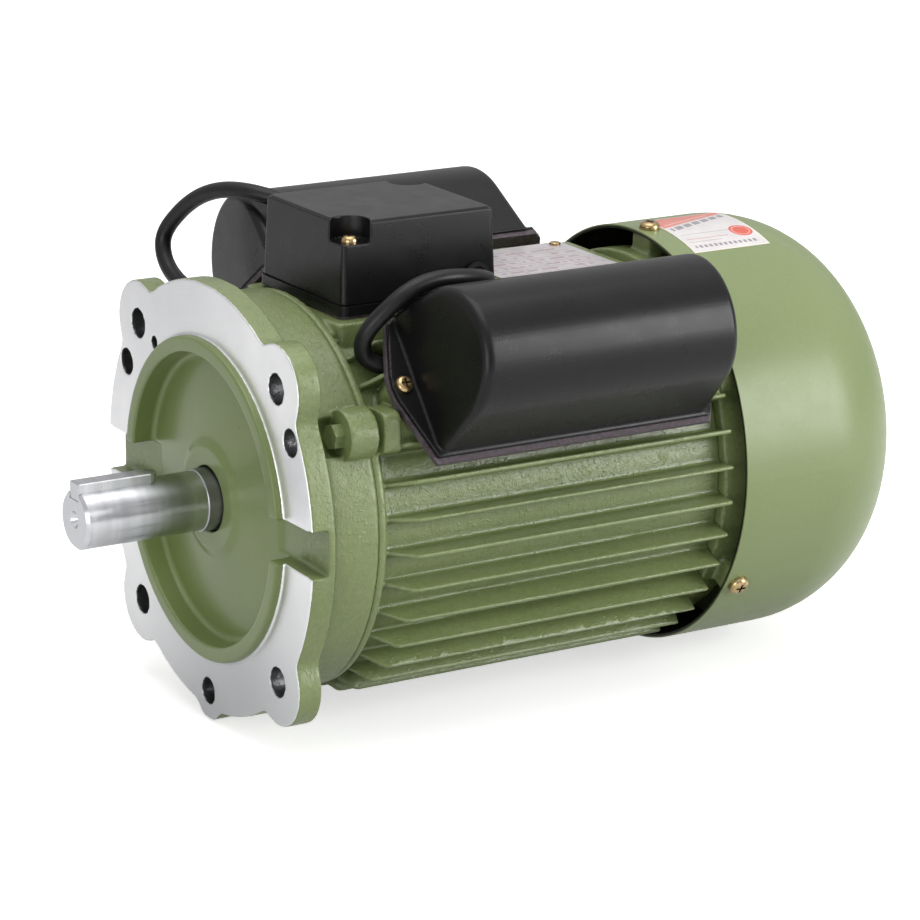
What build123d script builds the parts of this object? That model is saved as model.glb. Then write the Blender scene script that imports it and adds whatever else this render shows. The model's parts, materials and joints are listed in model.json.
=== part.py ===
from build123d import *
import math
import os

# Single-phase capacitor motor, flange mounted, frame size 90, in millimetres.
# Frame of the part: origin on the shaft axis in the machined flange face,
# +X along the shaft towards its free end (the front), +Z up through the terminal box.
# Right is +Y, as seen from the free shaft end. Angles about the shaft run from +Y towards +Z.

# ---------------------------------------------------------------- driving dimensions
SPIGOT_R = 65.0            # centring spigot
SPIGOT_H = 3.5
SPIGOT_BORE_R = 58.7
FLANGE_T = 10.0
FLANGE_R = 87.0            # outline between the bolt lobes
LOBE_R = 17.5
MOUNT_PCD_R = 82.5         # pitch circle of the four fixing holes
MOUNT_HOLE_R = 6.0
MOUNT_ANGLES = (45, 135, 225, 315)
ACCESS_R = 80.0            # pitch circle of the front shield bolts and their access holes
ACCESS_HOLE_R = 5.4
BOLT_ANGLES = (30.0, 150.0, 270.0)
CHANNEL_HALF = 8.5         # horizontal relief channel across the flange face
CHANNEL_X = -7.0

SHAFT_R = 12.0             # output end
JOURNAL_R = 12.5           # bearing seats
SHAFT_END = 57.0
SHAFT_SHOULDER = 5.0
KEY_W = 8.0
KEY_L = 35.0
KEY_TOP = 15.0
KEY_FLOOR = 8.0

JOINT_X = -33.0            # joint between front end shield and frame
FRONT_LUG_T = 12.0         # front shield lugs, forward of the joint
FRAME_END = -193.8
FRAME_BORE_R = 65.0
FRAME_ROOT_R = 74.5        # frame surface between the fins
FIN_TIP_R = 84.9
FIN_ROOT_T = 3.7
SHIELD_R = 80.0
REAR_BOLT_R = 75.5         # pitch circle of the rear shield bolts
REAR_LUG_T = 11.0
REAR_LUG_X = FRAME_END - REAR_LUG_T

PED_TOP = 74.2             # terminal box pedestal
PED_X0, PED_X1 = -38.0, -118.0
PED_HALF = 38.5
PAD_X0, PAD_X1 = PED_X1 + 4, -189.0   # nameplate pad, running into the pedestal
PLATE_Z = 76.4
PLATE_HALF = 33.5
PAD_BASE_Z = 58            # where pedestal and nameplate pad start, inside the frame
RIVET_X = (-179.0, -132.0)
RIVETS = [(x, y) for x in RIVET_X for y in (28.5, -28.5)]
RIVET_HOLE_R = 1.3

COVER_R = 87.5             # fan cover
COVER_X0 = -198.1          # open rim
COVER_X1 = -241.8          # start of the rounded shoulder
COVER_X2 = -291.8          # edge of the end face
COVER_FLAT_R = 41.2        # radius of the end face
COVER_BULGE = 0.8          # middle of the end face beyond its edge
COVER_T = 1.5
COVER_SCREW_X = -204.6
COVER_SCREW_ANGLES = (87.5, -32.5, -152.5)

# capacitors: name, side (+1 is +Y), angle of the seat, radius of the cover's round top
CAPACITORS = (("right", 1, 39.0, 27.0), ("left", -1, 138.8, 28.0))
CAP_D = 85.0               # height of their pads above the shaft axis
CAP_X0, CAP_X1 = -54.4, -177.5        # front and rear of the covers
CAP_H = 25.4               # height of the cover's round top centre above the pad
CAP_SCREW_X = (-49.3, -184.0)
CAP_SCREWS = [(x, 0) for x in CAP_SCREW_X]
CAP_GASKET_T = 2.2
CAP_FLANGE_T = 2.0

BOX_XC, BOX_L, BOX_W = -77.9, 70.2, 65.7          # terminal box centre, length and width
BOX_Z0, BOX_Z1, BOX_Z2 = 75.4, 79.5, 111.8        # base underside, lid rim, lid top
BOX_FLOOR_T = 2.2
BOX_HOLE_R = 11            # wiring opening down into the frame
BOX_SCREWS = [(BOX_XC - 22, 22), (BOX_XC + 22, -22)]

CORE_X0, CORE_X1 = -70.0, -160.0      # front and rear of both cores
CORE_L = CORE_X0 - CORE_X1
STATOR_BORE_R = 40.0
ROTOR_R = 39.7
BRG_W, BRG_OD_R, BRG_ID_R = 15.0, 26.0, 12.5
FRONT_BRG_X = -25.0        # rear face of the front bearing
REAR_BRG_X = -212.0        # rear face of the rear bearing
SWITCH_X = -196.0          # rear face of the switch plate
SWITCH_PLATE_T = 2.0
SWITCH_SCREWS = [(0, 45), (0, -45)]
GAP = 0.03                 # clearance kept between seated fixed pieces

REGISTER_R = FRAME_BORE_R - GAP       # spigots of both end shields in the frame bore
REGISTER_BORE_R = 58.5
REGISTER_L = 4
BRG_SEAT_R = BRG_OD_R + GAP

os.makedirs("parts", exist_ok=True)


def polar(radius, angle):
    return (radius * math.cos(math.radians(angle)), radius * math.sin(math.radians(angle)))


def on_circle(radius, angles):
    return [polar(radius, angle) for angle in angles]


def radial_plane(x, radius, angle):
    # tangent to a circle about the shaft: local x along the shaft, local z away from it
    return Plane(
        origin=(x, *polar(radius, angle)), x_dir=(1, 0, 0), z_dir=(0, *polar(1, angle))
    )


def axial_plane(angle):
    # contains the shaft axis: local x along the shaft, local y away from it
    across, up = polar(1, angle)
    return Plane(origin=(0, 0, 0), x_dir=(1, 0, 0), z_dir=(0, -up, across))


def section_plane(x, angle, height=CAP_D):
    # square to the shaft: local x across the capacitor, local y away from the shaft
    across, up = polar(1, angle)
    return Plane(origin=(x, *polar(height, angle)), x_dir=(0, up, -across), z_dir=(1, 0, 0))


def turned(profile):
    # solid of revolution about the shaft from (x, radius) points
    with BuildPart() as body:
        with BuildSketch(Plane.XY):
            with BuildLine():
                Polyline(*profile, close=True)
            make_face()
        revolve(axis=Axis.X)
    return body.part


def pan_screw_head(plane, head_r, head_h, shank_r, shank_l):
    # domed head with a cross recess on the plane, shank behind it
    with BuildPart() as screw:
        with BuildSketch(plane):
            Circle(head_r)
        extrude(amount=head_h)
        top_face = screw.faces().sort_by(Axis(plane.origin, plane.z_dir))[-1]
        fillet(top_face.edges(), head_h * 0.75)
        with BuildSketch(plane.offset(head_h * 0.4)):
            Rectangle(head_r * 1.1, head_r * 0.24)
            Rectangle(head_r * 0.24, head_r * 1.1)
        extrude(amount=head_h * 2, mode=Mode.SUBTRACT)
        with BuildSketch(plane):
            Circle(shank_r)
        extrude(amount=-shank_l)
    return screw.part


def save(name, part):
    part.label = name
    export_step(part, f"parts/{name}.step")


# ---------------------------------------------------------------- front end shield with flange
SEAL_BORE_R = 17.5
LUG_BORE_X = JOINT_X + FRONT_LUG_T
BOTTOM_LOBE_PCD_R, BOTTOM_LOBE_R = 80.3, 11.5

# (x, radius): dished face, spigot, rim, joint register, inside and bearing housing
FRONT_SHIELD_PROFILE = [
    (-0.5, 13.3), (-0.5, 20.6), (-1.2, 22.2), (-2.2, 24.5), (-6.3, 55.5), (-6.1, 57.4),
    (-4.8, 58.3), (SPIGOT_H, SPIGOT_BORE_R), (SPIGOT_H, SPIGOT_R - 0.4),
    (SPIGOT_H - 0.4, SPIGOT_R), (0, SPIGOT_R), (0, 79.0), (-12.0, 79.0), (-14.5, 79.6),
    (JOINT_X + 1.2, SHIELD_R), (JOINT_X + 0.4, SHIELD_R - 0.9), (JOINT_X, SHIELD_R - 0.9),
    (JOINT_X, REGISTER_R), (JOINT_X - REGISTER_L, REGISTER_R),
    (JOINT_X - REGISTER_L, REGISTER_BORE_R), (-16.0, 56.5), (-15.0, 55.0), (-15.0, 34.5),
    (-27.0, 33.5), (-27.0, BRG_SEAT_R), (-10.0, BRG_SEAT_R), (-10.0, SEAL_BORE_R),
    (-3.0, SEAL_BORE_R), (-3.0, 13.3),
]
# (distance from the axis, half width) along the channel, wider at the rim
CHANNEL_EDGE = [(50.0, CHANNEL_HALF), (66.0, CHANNEL_HALF), (90.0, CHANNEL_HALF + 0.7)]

with BuildPart() as flange_end_shield:
    with BuildSketch(Plane.XY):
        with BuildLine():
            Polyline(*FRONT_SHIELD_PROFILE, close=True)
        make_face()
    revolve(axis=Axis.X)
    # lobed flange plate; only its outer corners are rounded
    with BuildSketch(Plane.YZ.offset(-FLANGE_T)) as outline:
        Circle(FLANGE_R)
        with Locations(*on_circle(MOUNT_PCD_R, MOUNT_ANGLES)):
            Circle(LOBE_R)
        with Locations(polar(BOTTOM_LOBE_PCD_R, 270)):
            Circle(BOTTOM_LOBE_R)
        Circle(70, mode=Mode.SUBTRACT)
        fillet([v for v in outline.vertices() if math.hypot(v.X, v.Y, v.Z) > 80], 7)
    extrude(amount=FLANGE_T)
    # lugs for the three shield bolts
    with BuildSketch(Plane.YZ.offset(JOINT_X)):
        with Locations(*on_circle(ACCESS_R, BOLT_ANGLES)):
            Circle(10.0)
    extrude(amount=FRONT_LUG_T)
    # wrench room in front of each lug
    with BuildSketch(Plane.YZ.offset(LUG_BORE_X)):
        with Locations(*on_circle(ACCESS_R + 1.5, BOLT_ANGLES)):
            Circle(8.2)
    extrude(amount=-LUG_BORE_X - FLANGE_T, mode=Mode.SUBTRACT)
    # relief channel across the face
    for side in (1, -1):
        with BuildSketch(Plane.YZ.offset(CHANNEL_X)):
            with BuildLine():
                Polyline(
                    *[(side * reach, -half) for reach, half in CHANNEL_EDGE],
                    *[(side * reach, half) for reach, half in reversed(CHANNEL_EDGE)],
                    close=True,
                )
            make_face()
        extrude(amount=20, mode=Mode.SUBTRACT)
    # fixing and access holes through the flange
    with BuildSketch(Plane.YZ.offset(1)):
        with Locations(*on_circle(MOUNT_PCD_R, MOUNT_ANGLES)):
            Circle(MOUNT_HOLE_R)
        with Locations(*on_circle(ACCESS_R, BOLT_ANGLES)):
            Circle(ACCESS_HOLE_R)
    extrude(amount=-FLANGE_T - 2, mode=Mode.SUBTRACT)
    # bolt holes in the lugs
    with BuildSketch(Plane.YZ.offset(JOINT_X - 1)):
        with Locations(*on_circle(ACCESS_R, BOLT_ANGLES)):
            Circle(3.3)
    extrude(amount=16, mode=Mode.SUBTRACT)
    # small blind hole in the flange face
    with BuildSketch(Plane.YZ.offset(1)):
        with Locations(polar(69.3, 129.5)):
            Circle(2.6)
    extrude(amount=-8.5, mode=Mode.SUBTRACT)
save("flange_end_shield", flange_end_shield.part)

# ---------------------------------------------------------------- stator frame
FIN_ANGLES = [125.0 + 10.0 * k for k in range(30)]    # none across the top
FIN_BASE_R = 72.0          # fins start inside the frame wall
FRAME_INSIDE_R = 60        # turned inside the bore, which is cut later
LUG_START_X = JOINT_X - 3.5

# (x, radius)
FRAME_PROFILE = [
    (JOINT_X, FRAME_INSIDE_R), (JOINT_X, SHIELD_R - 0.9), (JOINT_X - 0.5, SHIELD_R - 0.5),
    (JOINT_X - 3.0, SHIELD_R - 0.5), (JOINT_X - 5.0, FRAME_ROOT_R + 0.6),
    (FRAME_END, FRAME_ROOT_R - 0.4), (FRAME_END, FRAME_INSIDE_R),
]
# (x, radius), running out towards the joint
FIN_PROFILE = [
    (FRAME_END, FIN_BASE_R), (FRAME_END, FIN_TIP_R), (JOINT_X - 15.5, FIN_TIP_R),
    (JOINT_X - 13.5, FIN_TIP_R - 0.8), (JOINT_X - 3.6, FRAME_ROOT_R + 1.0),
    (JOINT_X - 3.6, FIN_BASE_R),
]

with BuildPart() as stator_frame:
    with BuildSketch(Plane.XY):
        with BuildLine():
            Polyline(*FRAME_PROFILE, close=True)
        make_face()
    revolve(axis=Axis.X)
    # cooling fins
    for angle in FIN_ANGLES:
        with BuildSketch(axial_plane(angle)):
            with BuildLine():
                Polyline(*FIN_PROFILE, close=True)
            make_face()
        extrude(amount=FIN_ROOT_T / 2, both=True, taper=4.2)
    # terminal box pedestal, with the frame wall trimmed level with its top
    with BuildSketch(Plane.XY.offset(PAD_BASE_Z)):
        with Locations(((PED_X0 + PED_X1) / 2, 0)):
            RectangleRounded(PED_X0 - PED_X1, 2 * PED_HALF, 3)
    extrude(amount=PED_TOP - PAD_BASE_Z)
    with BuildSketch(Plane.XY.offset(PED_TOP)):
        with Locations(((PED_X0 + PED_X1) / 2, 0)):
            Rectangle(PED_X0 - PED_X1 - 0.5, 36)
    extrude(amount=6, mode=Mode.SUBTRACT)
    # nameplate pad
    with BuildSketch(Plane.XY.offset(PAD_BASE_Z)):
        with Locations(((PAD_X0 + PAD_X1) / 2, 0)):
            RectangleRounded(PAD_X0 - PAD_X1, 2 * PLATE_HALF, 2)
    extrude(amount=PLATE_Z - PAD_BASE_Z)
    # capacitor pads with a screw boss at each end
    for _, _, angle, _ in CAPACITORS:
        with BuildSketch(radial_plane(0, CAP_D, angle)):
            with Locations((-121.0, 0)):
                RectangleRounded(100.0, 46.0, 4)
            with Locations(*CAP_SCREWS):
                Circle(5.5)
        extrude(amount=-15)
    # lugs that take the front shield bolts, each with a round boss running back
    with BuildSketch(Plane.YZ.offset(LUG_START_X)):
        with Locations(*on_circle(ACCESS_R - 0.6, BOLT_ANGLES)):
            RectangleRounded(16.6, 16.6, 3.5)
    extrude(amount=-7.4)
    with BuildSketch(Plane.YZ.offset(LUG_START_X)):
        with Locations(*on_circle(77.4, BOLT_ANGLES)):
            Circle(7.4)
    extrude(amount=-18.5)
    # bosses for the rear shield bolts
    with BuildSketch(Plane.YZ.offset(FRAME_END)):
        with Locations(*on_circle(REAR_BOLT_R, BOLT_ANGLES)):
            Circle(8.0)
    extrude(amount=15)
    # bore
    with BuildSketch(Plane.YZ.offset(10)):
        Circle(FRAME_BORE_R)
    extrude(amount=-230, mode=Mode.SUBTRACT)
    # wiring opening under the terminal box
    with BuildSketch(Plane.XY.offset(90)):
        with Locations((BOX_XC, 0)):
            Circle(BOX_HOLE_R)
    extrude(amount=-40, mode=Mode.SUBTRACT)
    for _, side, angle, _ in CAPACITORS:
        seat = radial_plane(0, CAP_D + 5, angle)
        with BuildSketch(seat):
            with Locations(*CAP_SCREWS):
                Circle(1.7)
        extrude(amount=-15, mode=Mode.SUBTRACT)
        # pocket where the lead turns up into the cover
        with BuildSketch(seat):
            with Locations((-63.0, -5.0 * side)):
                RectangleRounded(26.0, 14.0, 3)
        extrude(amount=-13.5, mode=Mode.SUBTRACT)
    # holes for the shield bolts, front then rear
    with BuildSketch(Plane.YZ.offset(JOINT_X + 1)):
        with Locations(*on_circle(ACCESS_R, BOLT_ANGLES)):
            Circle(2.6)
    extrude(amount=-14, mode=Mode.SUBTRACT)
    with BuildSketch(Plane.YZ.offset(FRAME_END - 1)):
        with Locations(*on_circle(REAR_BOLT_R, BOLT_ANGLES)):
            Circle(2.1)
    extrude(amount=13, mode=Mode.SUBTRACT)
    # holes for the nameplate rivets and the terminal box screws
    with BuildSketch(Plane.XY.offset(80)):
        with Locations(*RIVETS):
            Circle(RIVET_HOLE_R)
        with Locations(*BOX_SCREWS):
            Circle(1.7)
    extrude(amount=-14, mode=Mode.SUBTRACT)
save("stator_frame", stator_frame.part)

# ---------------------------------------------------------------- rear end shield
# (x, radius): joint register, outside, bearing housing and inside
REAR_SHIELD_PROFILE = [
    (FRAME_END + REGISTER_L, REGISTER_BORE_R), (FRAME_END + REGISTER_L, REGISTER_R),
    (FRAME_END, REGISTER_R), (FRAME_END, 78.0), (-206.0, 78.0), (-210.0, 75.0),
    (-213.0, 62.0), (-215.5, 34.0), (-217.0, 33.0), (-217.0, 20.0), (-213.6, 20.0),
    (-213.6, BRG_SEAT_R), (-196.0, BRG_SEAT_R), (-196.0, 33.0), (-207.0, 34.0),
    (-206.0, 56.0), (-203.0, REGISTER_BORE_R),
]

with BuildPart() as rear_end_shield:
    with BuildSketch(Plane.XY):
        with BuildLine():
            Polyline(*REAR_SHIELD_PROFILE, close=True)
        make_face()
    revolve(axis=Axis.X)
    # bolt lugs
    with BuildSketch(Plane.YZ.offset(FRAME_END)):
        with Locations(*on_circle(REAR_BOLT_R, BOLT_ANGLES)):
            Circle(8.0)
    extrude(amount=-REAR_LUG_T)
    # blocks that take the fan cover screws
    for angle in COVER_SCREW_ANGLES:
        with BuildSketch(radial_plane(COVER_SCREW_X, 70, angle)):
            Rectangle(9.0, 13.0)
        extrude(amount=15.3)
        with BuildSketch(radial_plane(COVER_SCREW_X, 87, angle)):
            Circle(2.1)
        extrude(amount=-13.0, mode=Mode.SUBTRACT)
    # bolt holes, and recesses for the bolt heads
    with BuildSketch(Plane.YZ.offset(FRAME_END + 1)):
        with Locations(*on_circle(REAR_BOLT_R, BOLT_ANGLES)):
            Circle(2.8)
    extrude(amount=-15, mode=Mode.SUBTRACT)
    with BuildSketch(Plane.YZ.offset(REAR_LUG_X)):
        with Locations(*on_circle(REAR_BOLT_R, BOLT_ANGLES)):
            Circle(6.5)
    extrude(amount=-10, mode=Mode.SUBTRACT)
    # standoffs and screw holes for the switch plate
    with BuildSketch(Plane.YZ.offset(SWITCH_X)):
        with Locations(*SWITCH_SCREWS):
            Circle(5.0)
    extrude(amount=-12.0)
    with BuildSketch(Plane.YZ.offset(SWITCH_X + 1)):
        with Locations(*SWITCH_SCREWS):
            Circle(1.6)
    extrude(amount=-16, mode=Mode.SUBTRACT)
save("rear_end_shield", rear_end_shield.part)

# ---------------------------------------------------------------- fan cover
COVER_MID_X = COVER_X2 - COVER_BULGE
COVER_BEND = (COVER_X1, COVER_FLAT_R)    # centre of the elliptical shoulder
BEND_L = COVER_X1 - COVER_X2
BEND_H = COVER_R - COVER_FLAT_R
INLET_SLOT_W = 3.6
# rings of inlet slots: radius, count, start angle, slot length
INLET_RINGS = ((13.5, 8, 0, 10.5), (26.0, 16, 11.25, 10.5), (37.5, 24, 0, 8.5))

with BuildPart() as fan_cover:
    with BuildSketch(Plane.XY):
        with BuildLine():
            Line((COVER_X0, COVER_R), (COVER_X1, COVER_R))
            EllipticalCenterArc(COVER_BEND, BEND_L, BEND_H, start_angle=90, arc_size=90)
            Line((COVER_X2, COVER_FLAT_R), (COVER_MID_X, 0))
            Line((COVER_MID_X, 0), (COVER_MID_X + COVER_T, 0))
            Line((COVER_MID_X + COVER_T, 0), (COVER_X2 + COVER_T, COVER_FLAT_R))
            EllipticalCenterArc(
                COVER_BEND, BEND_L - COVER_T, BEND_H - COVER_T, start_angle=90, arc_size=90
            )
            Line((COVER_X1, COVER_R - COVER_T), (COVER_X0, COVER_R - COVER_T))
            Line((COVER_X0, COVER_R - COVER_T), (COVER_X0, COVER_R))
        make_face()
    revolve(axis=Axis.X)
    # air inlet in the end face
    with BuildSketch(Plane.YZ.offset(COVER_X2 - 5)):
        Circle(5.0)
        for ring_r, count, start_angle, slot_l in INLET_RINGS:
            with PolarLocations(ring_r, count, start_angle=start_angle):
                SlotOverall(slot_l, INLET_SLOT_W)
    extrude(amount=12, mode=Mode.SUBTRACT)
    # screw holes near the open rim
    for angle in COVER_SCREW_ANGLES:
        with BuildSketch(radial_plane(COVER_SCREW_X, 90, angle)):
            Circle(2.7)
        extrude(amount=-8.0, mode=Mode.SUBTRACT)
save("fan_cover", fan_cover.part)

# ---------------------------------------------------------------- shaft and key
SHAFT_BODY_R = 15.5
ROTOR_SEAT_R = 16.5
FAN_SEAT_R = 10.0
KEY_ROUND_X = SHAFT_END - KEY_L + KEY_W / 2    # centre of the keyway's round inner end

# (x, radius), from the free end to the fan end
SHAFT_PROFILE = [
    (SHAFT_END, 0), (SHAFT_END, SHAFT_R - 1.2), (SHAFT_END - 1.2, SHAFT_R),
    (SHAFT_SHOULDER, SHAFT_R), (SHAFT_SHOULDER, JOURNAL_R - 0.3),
    (SHAFT_SHOULDER - 0.3, JOURNAL_R), (FRONT_BRG_X, JOURNAL_R), (FRONT_BRG_X, SHAFT_BODY_R),
    (-52.0, SHAFT_BODY_R), (-52.0, ROTOR_SEAT_R), (-168.0, ROTOR_SEAT_R),
    (-168.0, SHAFT_BODY_R), (REAR_BRG_X + BRG_W, SHAFT_BODY_R),
    (REAR_BRG_X + BRG_W, JOURNAL_R), (REAR_BRG_X, JOURNAL_R), (REAR_BRG_X, 11.0),
    (-218.0, 11.0), (-218.0, FAN_SEAT_R), (-266.0, FAN_SEAT_R), (-267.0, 9.0), (-267.0, 0),
]
# centre drillings in the free end and the fan end, (x, radius)
CENTRE_DRILLINGS = (
    [
        (SHAFT_END + 1, 0), (SHAFT_END + 1, 4.1), (SHAFT_END, 3.5), (SHAFT_END - 3.2, 1.6),
        (SHAFT_END - 7.5, 1.6), (SHAFT_END - 8.5, 0),
    ],
    [(-268, 0), (-268, 3.2), (-264, 1.2), (-261, 1.2), (-260.5, 0)],
)

with BuildPart() as shaft:
    with BuildSketch(Plane.XY):
        with BuildLine():
            Polyline(*SHAFT_PROFILE, close=True)
        make_face()
    revolve(axis=Axis.X)
    # open-ended keyway with a round inner end
    with BuildSketch(Plane.XY.offset(KEY_FLOOR)):
        with Locations((KEY_ROUND_X, 0)):
            Circle(KEY_W / 2)
        with Locations((KEY_ROUND_X + 20, 0)):
            Rectangle(40, KEY_W)
    extrude(amount=10, mode=Mode.SUBTRACT)
    for drilling in CENTRE_DRILLINGS:
        with BuildSketch(Plane.XY):
            with BuildLine():
                Polyline(*drilling, close=True)
            make_face()
        revolve(axis=Axis.X, mode=Mode.SUBTRACT)
    # groove for the fan clip
    with BuildSketch(Plane.XY):
        with Locations((-263.6, 10.5)):
            Rectangle(1.3, 2.2)
    revolve(axis=Axis.X, mode=Mode.SUBTRACT)
save("shaft", shaft.part)

KEY_END_GAP = 0.3          # key stops short of the shaft end
with BuildPart() as shaft_key:
    with BuildSketch(Plane.XY.offset(KEY_FLOOR + GAP)):
        with Locations((KEY_ROUND_X, 0)):
            Circle(KEY_W / 2 - GAP)
        with Locations(((KEY_ROUND_X + SHAFT_END - KEY_END_GAP) / 2, 0)):
            Rectangle(KEY_L - KEY_W / 2 - KEY_END_GAP, KEY_W - 2 * GAP)
    extrude(amount=KEY_TOP - KEY_FLOOR - GAP)
    chamfer(shaft_key.edges().group_by(Axis.Z)[-1], 0.4)
save("shaft_key", shaft_key.part)

# ---------------------------------------------------------------- rotor
BARS = 22
BAR_PITCH_R = 34.8
BAR_R = 2.55
END_RING_T = 10
BAR_OVERHANG = 9           # bars run this far into the end rings

with BuildPart() as rotor_core:
    with BuildSketch(Plane.YZ.offset(CORE_X1)):
        Circle(ROTOR_R)
        Circle(ROTOR_SEAT_R + GAP, mode=Mode.SUBTRACT)
        with PolarLocations(BAR_PITCH_R, BARS):
            Circle(BAR_R + 0.05, mode=Mode.SUBTRACT)
    extrude(amount=CORE_L)
save("rotor_core", rotor_core.part)

with BuildPart() as rotor_cage:
    with BuildSketch(Plane.YZ.offset(CORE_X1 - BAR_OVERHANG)):
        with PolarLocations(BAR_PITCH_R, BARS):
            Circle(BAR_R)
    extrude(amount=CORE_L + 2 * BAR_OVERHANG)
    for ring_x in (CORE_X0 + GAP, CORE_X1 - END_RING_T):
        with BuildSketch(Plane.YZ.offset(ring_x)):
            Circle(38.6)
            Circle(27.0, mode=Mode.SUBTRACT)
        extrude(amount=END_RING_T - GAP)
    # stub blades on both end rings: start x, length along X
    for blade_x, blade_l in ((CORE_X0 + 9.5, 8.5), (CORE_X1 - 9.5, -5.0)):
        with BuildSketch(Plane.YZ.offset(blade_x)):
            with PolarLocations(33.0, BARS // 2):
                Rectangle(7.0, 1.8)
        extrude(amount=blade_l)
save("rotor_cage", rotor_cage.part)

# ---------------------------------------------------------------- bearings
BALLS = 9
BALL_R = 3.96
BALL_PITCH_R = (BRG_ID_R + BRG_OD_R) / 2
GROOVE_R = 4.05
BALL_POCKET_R = 4.03
OUTER_RING_BORE_R = 22.4
INNER_RING_R = 16.2
BALL_ANGLES = [360 / BALLS * k for k in range(BALLS)]


def bearing_ring(middle_x, inner_r, outer_r):
    with BuildPart() as ring:
        with BuildSketch(Plane.XY):
            with Locations((middle_x, (outer_r + inner_r) / 2)):
                Rectangle(BRG_W, outer_r - inner_r)
            with Locations((middle_x, BALL_PITCH_R)):
                Circle(GROOVE_R, mode=Mode.SUBTRACT)
        revolve(axis=Axis.X)
    return ring.part


def bearing(rear_x, place):
    middle_x = rear_x + BRG_W / 2
    outer_ring = bearing_ring(middle_x, OUTER_RING_BORE_R, BRG_OD_R)
    save(f"{place}_bearing_outer_ring", outer_ring)
    inner_ring = bearing_ring(middle_x, BRG_ID_R + 0.01, INNER_RING_R)
    save(f"{place}_bearing_inner_ring", inner_ring)
    with BuildPart() as balls:
        with Locations(*[(middle_x, *polar(BALL_PITCH_R, angle)) for angle in BALL_ANGLES]):
            Sphere(BALL_R)
    save(f"{place}_bearing_balls", balls.part)
    with BuildPart() as cage:
        with BuildSketch(Plane.XY):
            with Locations((middle_x, BALL_PITCH_R)):
                Rectangle(10.6, 1.6)
        revolve(axis=Axis.X)
        for angle in BALL_ANGLES:
            with BuildSketch(radial_plane(middle_x, 16, angle)):
                Circle(BALL_POCKET_R)
            extrude(amount=6, mode=Mode.SUBTRACT)
    save(f"{place}_bearing_cage", cage.part)


bearing(FRONT_BRG_X, "front")
bearing(REAR_BRG_X, "rear")

# spring washer, modelled flat, behind the rear bearing
with BuildPart() as wave_spring:
    with BuildSketch(Plane.YZ.offset(-213.5)):
        Circle(25.6)
        Circle(21.5, mode=Mode.SUBTRACT)
    extrude(amount=1.4)
save("wave_spring", wave_spring.part)

# (x, radius)
SEAL_R = SEAL_BORE_R - 0.1
SEAL_PROFILE = [
    (-3.1, SEAL_R), (-9.6, SEAL_R), (-9.6, 14.5), (-8.4, 14.5), (-8.4, 16.2),
    (-6.0, 16.0), (-5.6, 12.6), (-4.6, 12.6), (-3.1, 14.6),
]
save("shaft_seal", turned(SEAL_PROFILE))

# ---------------------------------------------------------------- cooling fan
FAN_BORE_R = FAN_SEAT_R + 0.02
BLADE_T = 2.4
# (x, radius): hub with a thin backplate
FAN_PROFILE = [
    (-222.0, FAN_BORE_R), (-222.0, 16.0), (-226.0, 18.0), (-228.0, 70.0), (-230.0, 70.0),
    (-230.6, 20.0), (-262.0, 16.0), (-262.0, FAN_BORE_R),
]


def is_blade_tip_edge(edge):
    return abs(edge.length - BLADE_T) < 0.05 and edge.center().X < -256


with BuildPart() as cooling_fan:
    with BuildSketch(Plane.XY):
        with BuildLine():
            Polyline(*FAN_PROFILE, close=True)
        make_face()
    revolve(axis=Axis.X)
    # straight radial blades
    with BuildSketch(Plane.YZ.offset(-229.5)):
        with PolarLocations(44.0, 8):
            Rectangle(51.0, BLADE_T)
    extrude(amount=-30.0)
    fillet(cooling_fan.edges().filter_by(GeomType.LINE).filter_by(is_blade_tip_edge), 0.8)
save("cooling_fan", cooling_fan.part)

# ring open at the bottom, in the groove behind the fan
with BuildPart() as fan_clip:
    with BuildSketch(Plane.YZ.offset(-264.1)):
        Circle(12.4)
        Circle(9.5, mode=Mode.SUBTRACT)
        with Locations((0, -11)):
            Rectangle(7, 8, mode=Mode.SUBTRACT)
    extrude(amount=1.0)
save("fan_clip", fan_clip.part)

# ---------------------------------------------------------------- centrifugal starting switch
PIVOT_X, PIVOT_Z = -186.0, 31.0
PIN_R = 1.0
PIN_HALF = 5.6
EAR_T = 1.4
WEIGHT_HALF = 3.5

# (x, radius)
GOVERNOR_HUB_PROFILE = [
    (-176.0, 15.52), (-176.0, 26.5), (-177.6, 26.5), (-177.6, 19.0), (-180.0, 18.4),
    (-180.0, 15.52),
]
SLEEVE_PROFILE = [
    (-183.0, 15.58), (-183.0, 18.0), (-185.2, 18.0), (-185.2, 23.0), (-186.4, 23.0),
    (-186.4, 18.6), (-190.0, 18.6), (-190.0, 25.0), (-191.2, 25.0), (-191.2, 18.0),
    (-191.4, 18.0), (-191.4, 15.58),
]
# (x, height above the axis) of the upper ears and weight; the lower ones are mirrored
EAR_OUTLINE = [
    (-176.0, 24.2), (-176.0, 26.5), (-182.0, 33.4), (-187.8, 33.4), (-188.6, 32.4),
    (-188.6, 29.4), (-184.0, 27.0), (-179.0, 24.2),
]
WEIGHT_OUTLINE = [
    (-178.8, 29.0), (-178.8, 35.0), (-184.8, 35.6), (-188.2, 32.8), (-188.6, 29.0),
    (-188.6, 20.8), (-187.2, 20.8), (-187.2, 27.6), (-185.0, 28.6),
]

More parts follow.
